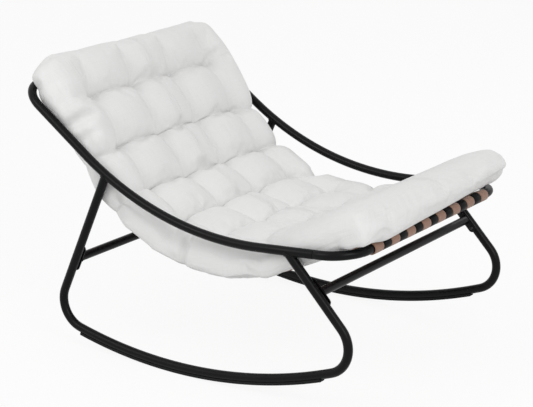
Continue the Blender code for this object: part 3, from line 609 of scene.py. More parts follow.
class CHAIR_OT_rockers(ChairPiece, bpy.types.Operator):
    """Rockers bent from one tube each, coped and welded to the rails"""

    bl_idname = "chair.rockers"
    bl_label = "Rockers"

    def execute(self, context):
        sizes = context.scene.chair_frame
        lines = ChairLines(sizes)
        paint = coat(context.scene)
        radius = sizes.tube / 2
        for side, sign in SIDES.items():
            out = Vector((0.0, sign * sizes.spacing / 2, 0.0))
            runs = [
                ((lines.rear_top - lines.rear_bend).length,),
                (sizes.bend_radius, heading(lines.rear_arc), 18),
                (sizes.rocker_radius, heading(lines.front_arc), 40),
                (sizes.bend_radius, lines.front_leg, 20),
                ((lines.front_top - lines.front_bend).length,),
            ]
            rocker = bent_tube(f"rocker_tube_{side}", lines.rear_top + out, -lines.rear_leg, runs, radius)
            rail = bpy.data.objects[f"rail_{side}"]
            apply_modifier(rocker, "BOOLEAN", operation="DIFFERENCE", solver="EXACT", object=rail)
            settle(rocker, "frame", paint, [f"rocker_{side}"])
            legs = {
                "rear": (lines.rear_top + out, -lines.rear_leg, lines.rear_rail),
                "front": (lines.front_top + out, -lines.front_leg, lines.front_rail),
            }
            for end, places in legs.items():
                self.weld(f"weld_{end}_{side}", *places, radius, paint)
        return {"FINISHED"}

    @staticmethod
    def weld(name, top, leg, rail, radius, paint):
        """Bead along the saddle line where a leg meets a rail, with the ripple of a hand weld."""
        across = Vector((0.0, 1.0, 0.0))
        flank = leg.cross(across).normalized()
        normal = rail.cross(across).normalized()
        if normal.dot(leg) < 0:
            normal = -normal
        path = bpy.data.curves.new(name, "CURVE")
        path.dimensions = "3D"
        path.bevel_depth = 0.0019
        path.bevel_resolution = 3
        spline = path.splines.new("POLY")
        count = 96
        spline.points.add(count - 1)
        spline.use_cyclic_u = True
        for k, point in enumerate(spline.points):
            turn = 2 * math.pi * k / count
            rise = radius * (abs(math.cos(turn)) - math.cos(turn) * flank.dot(normal)) / leg.dot(normal)
            place = top + leg * (rise + 0.0003) + radius * (math.cos(turn) * flank + math.sin(turn) * across)
            point.co = (*place, 1.0)
            point.radius = 1.0 + 0.16 * math.sin(WELD_RIPPLES * turn)
        obj = bpy.data.objects.new(name, path)
        bpy.context.scene.collection.objects.link(obj)
        only(obj)
        bpy.ops.object.convert(target="MESH")
        settle(bpy.context.active_object, "frame", paint, smooth=70.0)


class CHAIR_OT_strips(ChairPiece, bpy.types.Operator):
    """Floor strips under the rockers"""

    bl_idname = "chair.strips"
    bl_label = "Floor strips"

    def execute(self, context):
        sizes = context.scene.chair_frame
        lines = ChairLines(sizes)
        rubber = finish_named("extruded floor rubber", extruded_rubber, sizes.rubber)
        start = lines.rear_arc + 0.01 / sizes.rocker_radius
        end = lines.front_arc - 0.036 / sizes.rocker_radius
        for side, sign in SIDES.items():
            strip = self.strip(f"strip_{side}", sizes, lines, sign * sizes.spacing / 2, start, end)
            settle(strip, "frame", rubber, [f"runner_{side}"], 30.0)
        return {"FINISHED"}

    @staticmethod
    def strip(name, sizes, lines, y, start, end):
        """Hollow-backed section, drawn as a face and spun about the rocker's centre."""
        radius = sizes.tube / 2 + 0.0002
        half = sizes.strip_width / 2
        floor = sizes.tube / 2 + sizes.strip
        hollow = np.radians(np.linspace(-50, 50, 15))
        outline = [(math.sin(turn) * radius, math.cos(turn) * radius) for turn in hollow]
        flank = [(half, radius * 0.72), (half, floor - 0.0024)]
        flank += [(half - 0.0008, floor - 0.0008), (half - 0.0026, floor - 0.0002)]
        outline += flank + [(-across, depth) for across, depth in reversed(flank)]
        bpy.ops.object.select_all(action="DESELECT")
        bpy.ops.mesh.primitive_circle_add(vertices=len(outline), radius=half, fill_type="NGON")
        obj = named(name)
        out = heading(start - math.pi / 2)
        for vert, (across, depth) in zip(obj.data.vertices, outline):
            place = lines.rocker_centre + out * (sizes.rocker_radius + depth)
            vert.co = (place.x, y + across, place.z)
        bpy.ops.object.mode_set(mode="EDIT")
        bpy.ops.mesh.select_all(action="SELECT")
        bpy.ops.mesh.spin(steps=44, angle=start - end, center=lines.rocker_centre, axis=(0.0, -1.0, 0.0))
        bpy.ops.object.mode_set(mode="OBJECT")
        outward(obj)
        ease_edges(obj, 0.0016, 3, 70)
        return obj


class CHAIR_OT_crossbars(ChairPiece, bpy.types.Operator):
    """Crossbars welded to end plates, which are screwed to the legs"""

    bl_idname = "chair.crossbars"
    bl_label = "Crossbars, plates and screws"

    # Button-head screw, in metres
    HEAD_RADIUS = 0.00525
    HEAD_HEIGHT = 0.0033
    HEAD_ROUNDING = 0.0018
    HEAD_RIM = 0.00225
    SHANK_LENGTH = 0.011
    SOCKET_RADIUS = 0.0023
    SOCKET_HEIGHT = 0.003

    def execute(self, context):
        sizes = context.scene.chair_frame
        lines = ChairLines(sizes)
        paint = coat(context.scene)
        zinc = finish_named("black zinc plate", black_zinc)
        bars = {
            "rear": (lines.rear_foot, lines.rear_leg, sizes.rear_bar),
            "front": (lines.front_foot, lines.front_leg, sizes.front_bar),
        }
        outer = sizes.spacing / 2 - sizes.tube / 2 - TOUCH_GAP
        inner = outer - sizes.plate
        left = Vector((0.0, 1.0, 0.0))
        plate = self.plate(sizes)
        screw = self.screw()
        for bar, (foot, leg, height) in bars.items():
            centre = foot + leg * (height / leg.z)
            tube = bent_tube(f"crossbar_{bar}", centre - left * inner, left, [(2 * inner,)], sizes.tube / 2)
            settle(tube, "frame", paint, [f"{bar}_crossbar"])
            lean = -math.atan2(leg.z, leg.x)
            for side, sign in SIDES.items():
                one = copy_of(plate, f"plate_{bar}_{side}")
                one.location = centre + left * sign * (inner + sizes.plate / 2)
                one.rotation_euler = (0.0, lean, 0.0)
                settle(one, "frame", paint, [f"{bar}_plate_{side}"])
                self.bead(f"weld_{bar}_bar_{side}", centre + left * sign * (inner - 0.0006), sizes, paint)
                for number, shift in ((1, -0.5), (2, 0.5)):
                    one = copy_of(screw, f"screw_{bar}_{side}_{number}")
                    one.location = centre + leg * sizes.screw_spacing * shift + left * sign * (inner - 0.0002)
                    one.rotation_euler = (sign * math.pi / 2, lean, 0.0)
                    settle(one, "frame", zinc, [f"{bar}_screw_{side}_{number}"])
        for obj in (plate, screw):
            bpy.data.objects.remove(obj)
        return {"FINISHED"}

    @staticmethod
    def plate(sizes):
        """Round disc pulled apart into a plate with round ends, edges eased, lying across Y."""
        bpy.ops.object.select_all(action="DESELECT")
        bpy.ops.mesh.primitive_cylinder_add(
            vertices=40, radius=sizes.plate_width / 2, depth=sizes.plate, rotation=(math.pi / 2, 0.0, 0.0)
        )
        obj = named("plate")
        bpy.ops.object.transform_apply(location=True, rotation=True, scale=True)
        pull = (sizes.plate_length - sizes.plate_width) / 2
        bpy.ops.object.mode_set(mode="EDIT")
        for sign in (1, -1):
            bpy.ops.mesh.select_all(action="DESELECT")
            shape = bmesh.from_edit_mesh(obj.data)
            for vert in shape.verts:
                vert.select_set(0 < sign * vert.co.x < sizes.plate_width)
            shape.select_flush_mode()
            bmesh.update_edit_mesh(obj.data)
            bpy.ops.transform.translate(value=(sign * pull, 0.0, 0.0))
        bpy.ops.object.mode_set(mode="OBJECT")
        ease_edges(obj, 0.0008, 2, 50)
        return obj

    def screw(self):
        """Button head with a hexagon socket, on a short shank along local Z."""
        bpy.ops.object.select_all(action="DESELECT")
        bpy.ops.mesh.primitive_cylinder_add(
            vertices=32,
            radius=self.HEAD_RADIUS,
            depth=self.HEAD_HEIGHT,
            location=(0, 0, self.HEAD_HEIGHT / 2),
        )
        obj = named("screw")
        bpy.ops.object.transform_apply(location=True, rotation=True, scale=True)
        bpy.ops.object.mode_set(mode="EDIT")
        bpy.ops.mesh.select_all(action="DESELECT")
        shape = bmesh.from_edit_mesh(obj.data)
        for face in shape.faces:
            face.select_set(face.normal.z > 0.9)
        bmesh.update_edit_mesh(obj.data)
        bpy.ops.mesh.bevel(offset=self.HEAD_ROUNDING, segments=4, affect="EDGES")
        bpy.ops.mesh.select_all(action="DESELECT")
        shape = bmesh.from_edit_mesh(obj.data)
        for face in shape.faces:
            face.select_set(face.normal.z < -0.9)
        bmesh.update_edit_mesh(obj.data)
        bpy.ops.mesh.inset(thickness=self.HEAD_RIM)
        shank = (0.0, 0.0, -self.SHANK_LENGTH)
        bpy.ops.mesh.extrude_region_move(TRANSFORM_OT_translate={"value": shank})
        bpy.ops.object.mode_set(mode="OBJECT")
        bpy.ops.object.select_all(action="DESELECT")
        bpy.ops.mesh.primitive_cylinder_add(
            vertices=6,
            radius=self.SOCKET_RADIUS,
            depth=self.SOCKET_HEIGHT,
            location=(0, 0, self.HEAD_HEIGHT),
        )
        socket = bpy.context.active_object
        apply_modifier(obj, "BOOLEAN", operation="DIFFERENCE", solver="EXACT", object=socket)
        bpy.data.objects.remove(socket)
        return obj

    @staticmethod
    def bead(name, place, sizes, paint):
        """Ring of weld round a crossbar's end."""
        bpy.ops.object.select_all(action="DESELECT")
        bpy.ops.mesh.primitive_torus_add(
            major_radius=sizes.tube / 2 + 0.0004,
            minor_radius=0.0017,
            major_segments=72,
            minor_segments=10,
            location=place,
            rotation=(math.pi / 2, 0.0, 0.0),
        )
        obj = named(name)
        for vert in obj.data.vertices:
            turn = math.atan2(vert.co.y, vert.co.x)
            vert.co.z *= 1.0 + 0.15 * math.sin(WELD_RIPPLES * turn)
        settle(obj, "frame", paint, smooth=70.0)


def strap_places(sizes, sling):
    """Places of the straps' middles across the chair, from right to left."""
    straight = sizes.spacing - 2 * (sizes.foot_corner + sling.margin)
    pitch = (straight - sling.width) / (sling.count - 1)
    return [pitch * (k - (sling.count - 1) / 2) for k in range(sling.count)]


class CHAIR_OT_straps(ChairPiece, bpy.types.Operator):
    """Webbing straps looped round both bars and sewn back on themselves"""

    bl_idname = "chair.straps"
    bl_label = "Straps"

    # Stitches, in metres: length, spacing, how far the ends dip, and the thread's radius
    STITCH_LENGTH = 0.0034
    STITCH_PITCH = 0.0048
    STITCH_DIP = 0.0007
    THREAD_RADIUS = 0.00045

    def execute(self, context):
        sizes = context.scene.chair_frame
        sling = context.scene.chair_sling
        lines = ChairLines(sizes)
        line = SlingLine(lines, sling)
        webbing = finish_named("brown polypropylene webbing", woven_webbing, sling.webbing)
        thread = finish_named("brown sewing thread", sewing_thread, sling.thread)
        path, tails = self.path(lines, line, sling)
        strap = self.band(path, sling)
        stitch = self.stitch()
        for number, y in enumerate(strap_places(sizes, sling)):
            one = copy_of(strap, f"webbing_{number + 1}")
            one.location.y = y
            settle(one, "frame", webbing, [f"strap_{number + 1}"], 60.0)
            sewn = self.sew(f"stitches_{number + 1}", stitch, tails, y, sling)
            settle(sewn, "frame", thread, smooth=70.0)
        for obj in (strap, stitch):
            bpy.data.objects.remove(obj)
        return {"FINISHED"}

    @staticmethod
    def path(lines, line, sling):
        """Middle line of a strap, and (point, direction, outward normal) of its two tails."""
        tails = []
        halves = []
        ends = ((lines.head_bar, line.down, line.back_normal), (lines.foot_bar, -line.up, line.seat_normal))
        for bar, along, normal in ends:
            low = line.loop_radius - sling.thickness - TOUCH_GAP
            meet = along * sling.loop + normal * low
            leave = math.atan2(low, sling.loop) - math.acos(line.loop_radius / meet.length)
            points = []
            for k in range(29):
                turn = math.pi / 2 + (1.5 * math.pi + leave) * k / 28
                points.append(bar + line.loop_radius * (math.cos(turn) * along + math.sin(turn) * normal))
            last = points[-1]
            points += [last.lerp(bar + meet, k / 4) for k in range(1, 5)]
            end = bar + along * (sling.loop + sling.tail) + normal * low
            points += [(bar + meet).lerp(end, k / 3) for k in range(1, 4)]
            halves.append(points)
            tails.append((bar + meet, along, -normal))
        middle = [line.at(line.length * k / 80)[0] for k in range(1, 80)]
        return [*reversed(halves[0]), *middle, *halves[1]], tails

    @staticmethod
    def band(path, sling):
        """Flat grid laid along the path, given its thickness and rounded selvedges."""
        rows = len(path) - 1
        bpy.ops.object.select_all(action="DESELECT")
        bpy.ops.mesh.primitive_grid_add(x_subdivisions=rows, y_subdivisions=6, size=2)
        obj = named("band")
        reach = [0.0]
        for a, b in zip(path, path[1:]):
            reach.append(reach[-1] + (b - a).length)
        uv = obj.data.uv_layers.active
        uv.name = "weave"
        steps = {}
        for vert in obj.data.vertices:
            k = round((vert.co.x + 1) / 2 * rows)
            across = vert.co.y * sling.width / 2
            steps[vert.index] = (reach[k] * 1000, across * 1000)
            vert.co = (path[k].x, across, path[k].z)
        for loop in obj.data.loops:
            uv.data[loop.index].uv = steps[loop.vertex_index]
        outward(obj)
        apply_modifier(obj, "SOLIDIFY", thickness=sling.thickness - 0.0002, offset=0.0, use_even_offset=True)
        ease_edges(obj, 0.0009, 2, 60)
        return obj

    def stitch(self):
        """One stitch: a short thread along local X whose ends dip into the webbing."""
        bpy.ops.object.select_all(action="DESELECT")
        bpy.ops.mesh.primitive_cylinder_add(
            vertices=6,
            radius=self.THREAD_RADIUS,
            depth=self.STITCH_LENGTH,
            rotation=(0.0, math.pi / 2, 0.0),
        )
        obj = named("stitch")
        bpy.ops.object.transform_apply(location=True, rotation=True, scale=True)
        bpy.ops.object.mode_set(mode="EDIT")
        bpy.ops.mesh.select_all(action="SELECT")
        bpy.ops.mesh.bisect(plane_co=(0.0, 0.0, 0.0), plane_no=(1.0, 0.0, 0.0))
        bpy.ops.object.mode_set(mode="OBJECT")
        for vert in obj.data.vertices:
            vert.co.z -= self.STITCH_DIP * (abs(vert.co.x) / (self.STITCH_LENGTH / 2)) ** 2
        return obj

    def sew(self, name, stitch, tails, y, sling):
        """Box of stitches with a cross on both tails of one strap."""
        made = []
        half = sling.width / 2 - 0.005
        for point, along, normal in tails:
            side = Vector((0.0, 1.0, 0.0))
            base = point + normal * (sling.thickness / 2 + 0.0001) + side * y
            near, far = 0.003, sling.tail - 0.004
            corners = [(near, -half), (near, half), (far, half), (far, -half)]
            box = zip(corners, corners[1:] + corners[:1])
            legs = [*box, (corners[0], corners[2]), (corners[1], corners[3])]
            for (u0, v0), (u1, v1) in legs:
                span = math.hypot(u1 - u0, v1 - v0)
                count = max(2, round(span / self.STITCH_PITCH))
                turn = math.atan2(v1 - v0, u1 - u0)
                run = (along * math.cos(turn) + side * math.sin(turn)).normalized()
                for k in range(count):
                    part = (k + 0.5) / count
                    one = copy_of(stitch, name)
                    one.location = base + along * (u0 + (u1 - u0) * part) + side * (v0 + (v1 - v0) * part)
                    cross = normal.cross(run)
                    matrix = one.matrix_world.copy()
                    for row in range(3):
                        matrix[row][0] = run[row]
                        matrix[row][1] = cross[row]
                        matrix[row][2] = normal[row]
                        matrix[row][3] = one.location[row]
                    one.matrix_world = matrix
                    made.append(one)
        bpy.ops.object.select_all(action="DESELECT")
        for one in made:
            one.select_set(True)
        bpy.context.view_layer.objects.active = made[0]
        bpy.ops.object.join()
        obj = bpy.context.active_object
        obj.name = name
        return obj


class CHAIR_OT_sleeves(ChairPiece, bpy.types.Operator):
    """Vinyl spacer sleeves between the straps"""

    bl_idname = "chair.sleeves"
    bl_label = "Sleeves"

    def execute(self, context):
        sizes = context.scene.chair_frame
        sling = context.scene.chair_sling
        lines = ChairLines(sizes)
        line = SlingLine(lines, sling)
        finish = finish_named("black vinyl sleeve", vinyl, sling.sleeve)
        places = strap_places(sizes, sling)
        pitch = places[1] - places[0]
        radius = line.loop_radius + sling.thickness / 2 - TOUCH_GAP
        sleeve = self.sleeve(radius, pitch - sling.width - 0.001, sizes)
        for bar, middle in (("foot", lines.foot_bar), ("head", lines.head_bar)):
            for number, y in enumerate(places[:-1]):
                one = copy_of(sleeve, f"{bar}_spacer_{number + 1}")
                one.location = middle + Vector((0.0, y + pitch / 2, 0.0))
                settle(one, "frame", finish, [f"{bar}_sleeve_{number + 1}"])
        bpy.data.objects.remove(sleeve)
        return {"FINISHED"}

    @staticmethod
    def sleeve(radius, long, sizes):
        """Open tube with a wall and eased ends, lying along Y."""
        bpy.ops.object.select_all(action="DESELECT")
        bpy.ops.mesh.primitive_cylinder_add(
            vertices=40, radius=radius, depth=long, end_fill_type="NOTHING", rotation=(math.pi / 2, 0.0, 0.0)
        )
        obj = named("sleeve")
        bpy.ops.object.transform_apply(location=True, rotation=True, scale=True)
        outward(obj)
        apply_modifier(obj, "SOLIDIFY", thickness=radius - sizes.tube / 2 - 0.0002, offset=-1.0)
        ease_edges(obj, 0.0009, 3, 60)
        return obj


def ease(value):
    """Smooth step from 0 to 1."""
    value = np.clip(value, 0.0, 1.0)
    return value * value * (3.0 - 2.0 * value)


def quarter_round(share):
    """Rise of a quarter circle, from 0 at its foot to 1 where it levels off."""
    return np.sqrt(1.0 - (1.0 - np.clip(share, 0.0, 1.0)) ** 2)


class CHAIR_OT_cushion(ChairPiece, bpy.types.Operator):
    """Loose tufted cushion: a sewn cloth case filled under pressure"""

    bl_idname = "chair.cushion"
    bl_label = "Cushion"

    LAYERS = 6
    # Depth in metres of each row's crease from the head: midway between two tufts, at the right
    # side and at the left side. Then how far the row's ends bend towards the foot.
    ROW_DEPTHS = (0.030, 0.034, 0.036, 0.030, 0.020, 0.008)
    RIGHT_DEPTHS = (0.004, 0.022, 0.012, 0.020, 0.0, 0.0)
    LEFT_DEPTHS = (0.0, 0.020, 0.028, 0.024, 0.0, 0.016)
    ROW_BENDS = (0.0, 0.018, 0.006, 0.045, 0.0, -0.03)
    # Upright folds in the right and left walls: place along the sling, width and depth in metres.
    SIDE_FOLDS = {
        -1: ((0.172, 0.014, 0.014), (0.222, 0.009, 0.006), (0.717, 0.012, 0.013)),
        1: ((0.627, 0.012, 0.010), (0.957, 0.012, 0.008)),
    }
    # Height of the puffs' crowns above the sling, by the place along it, both in metres.
    CROWNS = (
        (-0.033, 0.077, 0.377, 0.557, 0.827, 1.027, 1.167, 1.267),
        (0.102, 0.104, 0.097, 0.102, 0.100, 0.092, 0.099, 0.106),
    )
    # The tubes' bends at the foot bar and the head bar: place across where the bend starts, radius
    # of its axis and of its inner side in metres, and the rail's rise above the sling per metre.
    FOOT_BEND = (0.315, 0.09, 0.0775, 0.37)
    HEAD_BEND = (0.327, 0.078, 0.0655, 0.274)
    CLEARANCE = 0.0006  # of the cloth above a strap or a tube
    FILL_FRAMES = 20
    FILL_REACH = 0.025  # the most that the filling moves a point

    def execute(self, context):
        sizes = context.scene.chair_cushion
        sling = context.scene.chair_sling
        lines = ChairLines(context.scene.chair_frame)
        line = SlingLine(lines, sling)
        cloth = finish_named("off-white polyester canvas", canvas, sizes.cloth)
        obj, grid = self.case(sizes, line)
        along = self.shape(obj, grid, sizes, line, sling)
        self.fill(obj, context.scene)
        self.rest(obj, along, line, sling, context.scene)
        only(obj)
        apply_modifier(obj, "SUBSURF", levels=1, render_levels=1)
        settle(obj, "cushion", cloth, ["cushion"], 180.0)
        return {"FINISHED"}

    def case(self, sizes, line):
        """Flat slab of cloth with its side walls in layers; returns each point's place in it."""
        stations = self.stations(sizes, line)
        columns = 2 * round(sizes.half_width / sizes.step)
        bpy.ops.object.select_all(action="DESELECT")
        bpy.ops.mesh.primitive_grid_add(x_subdivisions=len(stations) - 1, y_subdivisions=columns, size=2)
        obj = named("tufted_cushion")
        obj.data.uv_layers.active.name = "weave"
        apply_modifier(obj, "SOLIDIFY", thickness=1.0, offset=1.0, use_rim=True)
        bpy.ops.object.mode_set(mode="EDIT")
        bpy.ops.mesh.select_all(action="DESELECT")
        shape = bmesh.from_edit_mesh(obj.data)
        for edge in shape.edges:
            a, b = (vert.co for vert in edge.verts)
            edge.select_set(abs(a.z - b.z) > 0.5)
        bmesh.update_edit_mesh(obj.data)
        bpy.ops.mesh.subdivide(number_cuts=self.LAYERS - 1, quadcorner="INNERVERT")
        bpy.ops.object.mode_set(mode="OBJECT")
        grid = np.empty(len(obj.data.vertices) * 3)
        obj.data.vertices.foreach_get("co", grid)
        return obj, grid.reshape(-1, 3)

    @staticmethod
    def rows(sizes, line):
        """Places of the rows of tufts along the sling."""
        first = sizes.head_depth - sizes.head
        last = line.length + sizes.foot - sizes.foot_depth
        return first + (last - first) * np.arange(sizes.rows) / (sizes.rows - 1)

    def stations(self, sizes, line):
        """Places of the cloth's cross lines along the sling, closer together at the sewn rows."""
        rows = self.rows(sizes, line)
        start = 0.008 - sizes.head
        count = round((rows[0] - start) / sizes.step)
        places = [start + (rows[0] - start) * (1 - (1 - np.arange(count) / count) ** 1.35)]
        for a, b in zip(rows, rows[1:]):
            count = round((b - a) / sizes.step)
            part = np.arange(count) / count
            places.append(a + (b - a) * (part - 0.35 * np.sin(2 * math.pi * part) / (2 * math.pi)))
        reach = line.length + sizes.foot - 0.009 - rows[-1]
        count = round(reach / sizes.step / 1.1)
        places.append(rows[-1] + reach * (np.arange(count + 1) / count) ** 1.2)
        return np.concatenate(places)

    def corner_lift(self, along, across, line):
        """Height that clears the tubes' corners next to the foot bar and the head bar."""
        wide = np.abs(across)
        start, bend, inside, rise = self.FOOT_BEND
        back = np.clip(line.length - along, 0.0125, bend)
        inner = start + np.sqrt(np.maximum(0.0, inside**2 - (bend - back) ** 2))
        foot = rise * back * ease((wide - inner + 0.008) / 0.012) * (along < line.length + 0.02)
        start, bend, inside, rise = self.HEAD_BEND
        down = np.clip(along, 0.0125, bend)
        inner = start + np.sqrt(np.maximum(0.0, inside**2 - (bend - down) ** 2))
        head = (rise * down - 0.0034) * ease((wide - inner + 0.008) / 0.012)
        return foot + head * (along > 0.0) * ease((0.055 - along) / 0.02)

    def side_folds(self, along, across):
        """Depth of the upright folds in the two side walls."""
        depth = np.zeros_like(along)
        for side, places in self.SIDE_FOLDS.items():
            reach = ease((side * across - 0.30) / 0.06)
            for place, wide, deep in places:
                depth += reach * deep * np.exp(-(((along - place) / wide) ** 2))
        return depth

    def shape(self, obj, grid, sizes, line, sling):
        """Lays the slab on the sling as a field of puffs, and marks what is sewn fast."""
        # All lengths are metres: along the sling from the head bar, across it from the middle with
        # the right side negative, and heights above the sling.
        stations = self.stations(sizes, line)
        along = np.interp((grid[:, 0] + 1) / 2, np.linspace(0, 1, len(stations)), stations)
        head_end, foot_end = along - stations[0], stations[-1] - along
        end = np.minimum(head_end, foot_end)
        headward = ease((0.267 - along) / 0.2)
        corner = np.where(head_end < foot_end, np.where(grid[:, 1] < 0, 0.06, 0.05), 0.03)
        half = sizes.half_width + np.where(grid[:, 1] < 0, 0.018, -0.002) * headward
        half = half - corner * (1 - quarter_round(end / corner))
        across = grid[:, 1] * half
        flank = half - np.abs(across)
        layer = grid[:, 2]
        top_layer = layer > 0.99
        rows = self.rows(sizes, line)
        columns = sizes.pitch * (np.arange(sizes.columns) - (sizes.columns - 1) / 2)
        outer = ease((np.abs(across) - columns[-1]) / 0.06)
        pad = ease((along - rows[-1] - 0.01) / 0.07)
        nearest = np.abs(along[:, None] - rows).argmin(axis=1)
        off_row = np.abs(along - rows[nearest] - outer * np.array(self.ROW_BENDS)[nearest])
        off_column = np.abs(across[:, None] - columns).min(axis=1)
        off_tuft = np.hypot(off_row, off_column)
        # Upper side: crowns, less the creases of rows and columns, the tufts and the rounded edges
        crown = np.interp(along, *self.CROWNS) + outer * (1 - pad) * (
            0.004 * ease((along - 0.007) / 0.08) + 0.004 * ease((along - 0.407) / 0.1)
        )
        crown = crown - 0.006 * pad * (1 - ease((np.abs(across) - 0.15) / 0.18))
        part = np.minimum(1.0, off_row / (0.5 * (rows[1] - rows[0])))
        row_rise = (1 - outer) * quarter_round(part) + outer * (1 - (1 - part) ** 3)
        row_depth = np.array(self.ROW_DEPTHS)[nearest]
        side_depth = np.where(
            across < 0, np.array(self.RIGHT_DEPTHS)[nearest], np.array(self.LEFT_DEPTHS)[nearest]
        )
        row_depth = row_depth + outer * (side_depth - row_depth)
        part = np.minimum(1.0, off_column / (sizes.pitch / 2))
        column_rise = 0.5 * quarter_round(part) + 0.5 * (1 - (1 - part) ** 2)
        column_depth = sizes.column_depth * (1 - 0.4 * ease((along - 0.577) / 0.2)) * (1 - pad)
        column_depth = column_depth * ease(head_end / 0.07)
        pull = sizes.dimple * np.where(nearest < sizes.rows - 1, 1.0, 0.5)
        dimple = pull * np.exp(-((off_tuft / 0.022) ** 2))
        top = crown - row_depth * (1 - row_rise) - column_depth * (1 - column_rise) - dimple
        brim = 0.030 * (1 - quarter_round(flank / 0.05))
        nose = 0.024 * (1 - quarter_round(head_end / 0.05)) + 0.055 * (1 - quarter_round(foot_end / 0.09))
        top = top - np.maximum(brim, nose)
        # Under side: tucked in at the flanks, lipped at the ends, and hanging past the foot bar
        far = ease((across - 0.1) / 0.2) * (foot_end < head_end)
        tucked = 1 - pad - (across < 0) * headward
        tuck = (0.010 + 0.005 * ease((along - 0.5) / 0.15)) * tucked
        low = 0.003 + tuck * (1 - quarter_round(flank / 0.03))
        short = ease((-across - 0.28) / 0.05)
        near = ease((-across - 0.05) / 0.2) * (1 - short) * (foot_end < head_end)
        lip = (0.030 + 0.016 * far - 0.020 * near) * (1 - quarter_round(end / (0.05 + 0.02 * far)))
        hem = 0.045 * (across > 0) * (1 - quarter_round(flank / 0.05)) * ease((along - 1.227) / 0.1)
        low = low + np.maximum(lip, hem)
        low = low - 0.008 * ease((along - 1.077) / 0.1) * ease((np.abs(across) - 0.315) / 0.03)
        sunk = 0.008 * ease((0.2 - along) / 0.08) * ease((along - 0.02) / 0.03)
        low = low - sunk * ease((-across - 0.335) / 0.03)
        low = low + self.corner_lift(along, across, line)
        lean = across / sizes.half_width
        droop = 0.006 - np.where(lean < 0, 0.010 * (1 - short), 0.014) * lean
        droop = droop * ease((along - line.length - 0.006) / 0.024)
        folds = self.side_folds(along, across)
        low = low - droop
        top = top - 0.5 * np.minimum(droop, 0.03) - np.where(across < 0, folds, 0.0)
        low = np.minimum(low, top - 0.022)
        height = low + (top - low) * (0.5 - 0.5 * np.cos(math.pi * layer))
        # How fast each point is held while the case is filled
        plain = np.maximum(pad, 1 - ease(head_end / 0.08))
        hold = np.where(top_layer, 0.02 + 0.14 * plain, 0.0)
        sewn = np.abs(along - rows[nearest]) < 0.001
        hold = np.where(top_layer & sewn & (outer < 0.3), 0.8 - 0.75 * outer, hold)
        hold = np.where(top_layer & (off_tuft < sizes.step * 0.6), 1.0, hold)
        hold = np.where(layer < 0.01, 0.3 + 0.6 * ease(np.minimum(flank, end) / 0.03), hold)
        # Side walls, swelling outwards between their edges
        rim = np.abs(grid[:, :2]) > 0.999
        swell = 0.014 * np.sin(math.pi * layer) / np.where(rim.all(axis=1), 1.414, 1.0)
        across = across + swell * np.where(rim[:, 1], np.sign(grid[:, 1]), 0.0) - np.sign(across) * folds
        along = along + swell * np.where(rim[:, 0], np.sign(grid[:, 0]), 0.0)
        spots = np.empty_like(grid)
        for k, place in enumerate(along):
            point, normal = line.at(place)
            base = point + normal * (sling.thickness / 2 + height[k])
            spots[k] = (base.x, across[k], base.z)
        obj.data.vertices.foreach_set("co", spots.ravel())
        obj.data.update()
        for name, weights in (("sewn", hold), ("plain", plain)):
            group = obj.vertex_groups.new(name=name)
            for k in np.nonzero(weights)[0]:
                group.add([int(k)], float(weights[k]), "REPLACE")
        self.lay_weave(obj, along, across, height)
        outward(obj)
        return along

    @staticmethod
    def lay_weave(obj, along, across, height):
        """UV map in millimetres: along the cushion, and round it from side to side."""
        uv = obj.data.uv_layers["weave"]
        wide = across + np.sign(across) * height
        places = np.empty((len(obj.data.loops), 2))
        for loop in obj.data.loops:
            k = loop.vertex_index
            places[loop.index] = (along[k] * 1000, wide[k] * 1000)
        uv.data.foreach_set("uv", places.ravel())

    def fill(self, obj, scene):
        """Blows the case up against its sewn points and keeps the result."""
        only(obj)
        modifier = obj.modifiers.new("Filling", "CLOTH")
        settings = modifier.settings
        settings.quality = 5
        settings.mass = 0.05
        settings.use_pressure = True
        settings.uniform_pressure_force = 4.0
        settings.shrink_min = -0.045
        settings.shrink_max = -0.012
        settings.vertex_group_shrink = "plain"
        settings.tension_stiffness = 15.0
        settings.compression_stiffness = 15.0
        settings.shear_stiffness = 5.0
        settings.bending_stiffness = 0.5
        settings.air_damping = 2.0
        settings.effector_weights.gravity = 0.0
        settings.vertex_group_mass = "sewn"
        settings.pin_stiffness = 1.0
        modifier.collision_settings.use_collision = False
        modifier.point_cache.frame_start = 1
        modifier.point_cache.frame_end = self.FILL_FRAMES
        before = np.empty(len(obj.data.vertices) * 3)
        obj.data.vertices.foreach_get("co", before)
        for step in range(1, self.FILL_FRAMES + 1):
            scene.frame_set(step)
        bpy.ops.object.modifier_apply(modifier=modifier.name)
        scene.frame_set(1)
        after = np.empty_like(before)
        obj.data.vertices.foreach_get("co", after)
        move = (after - before).reshape(-1, 3)
        far = np.linalg.norm(move, axis=1)
        move *= np.where(far > self.FILL_REACH, self.FILL_REACH / np.maximum(far, 1e-9), 1.0)[:, None]
        obj.data.vertices.foreach_set("co", (before.reshape(-1, 3) + move).ravel())
        obj.data.update()

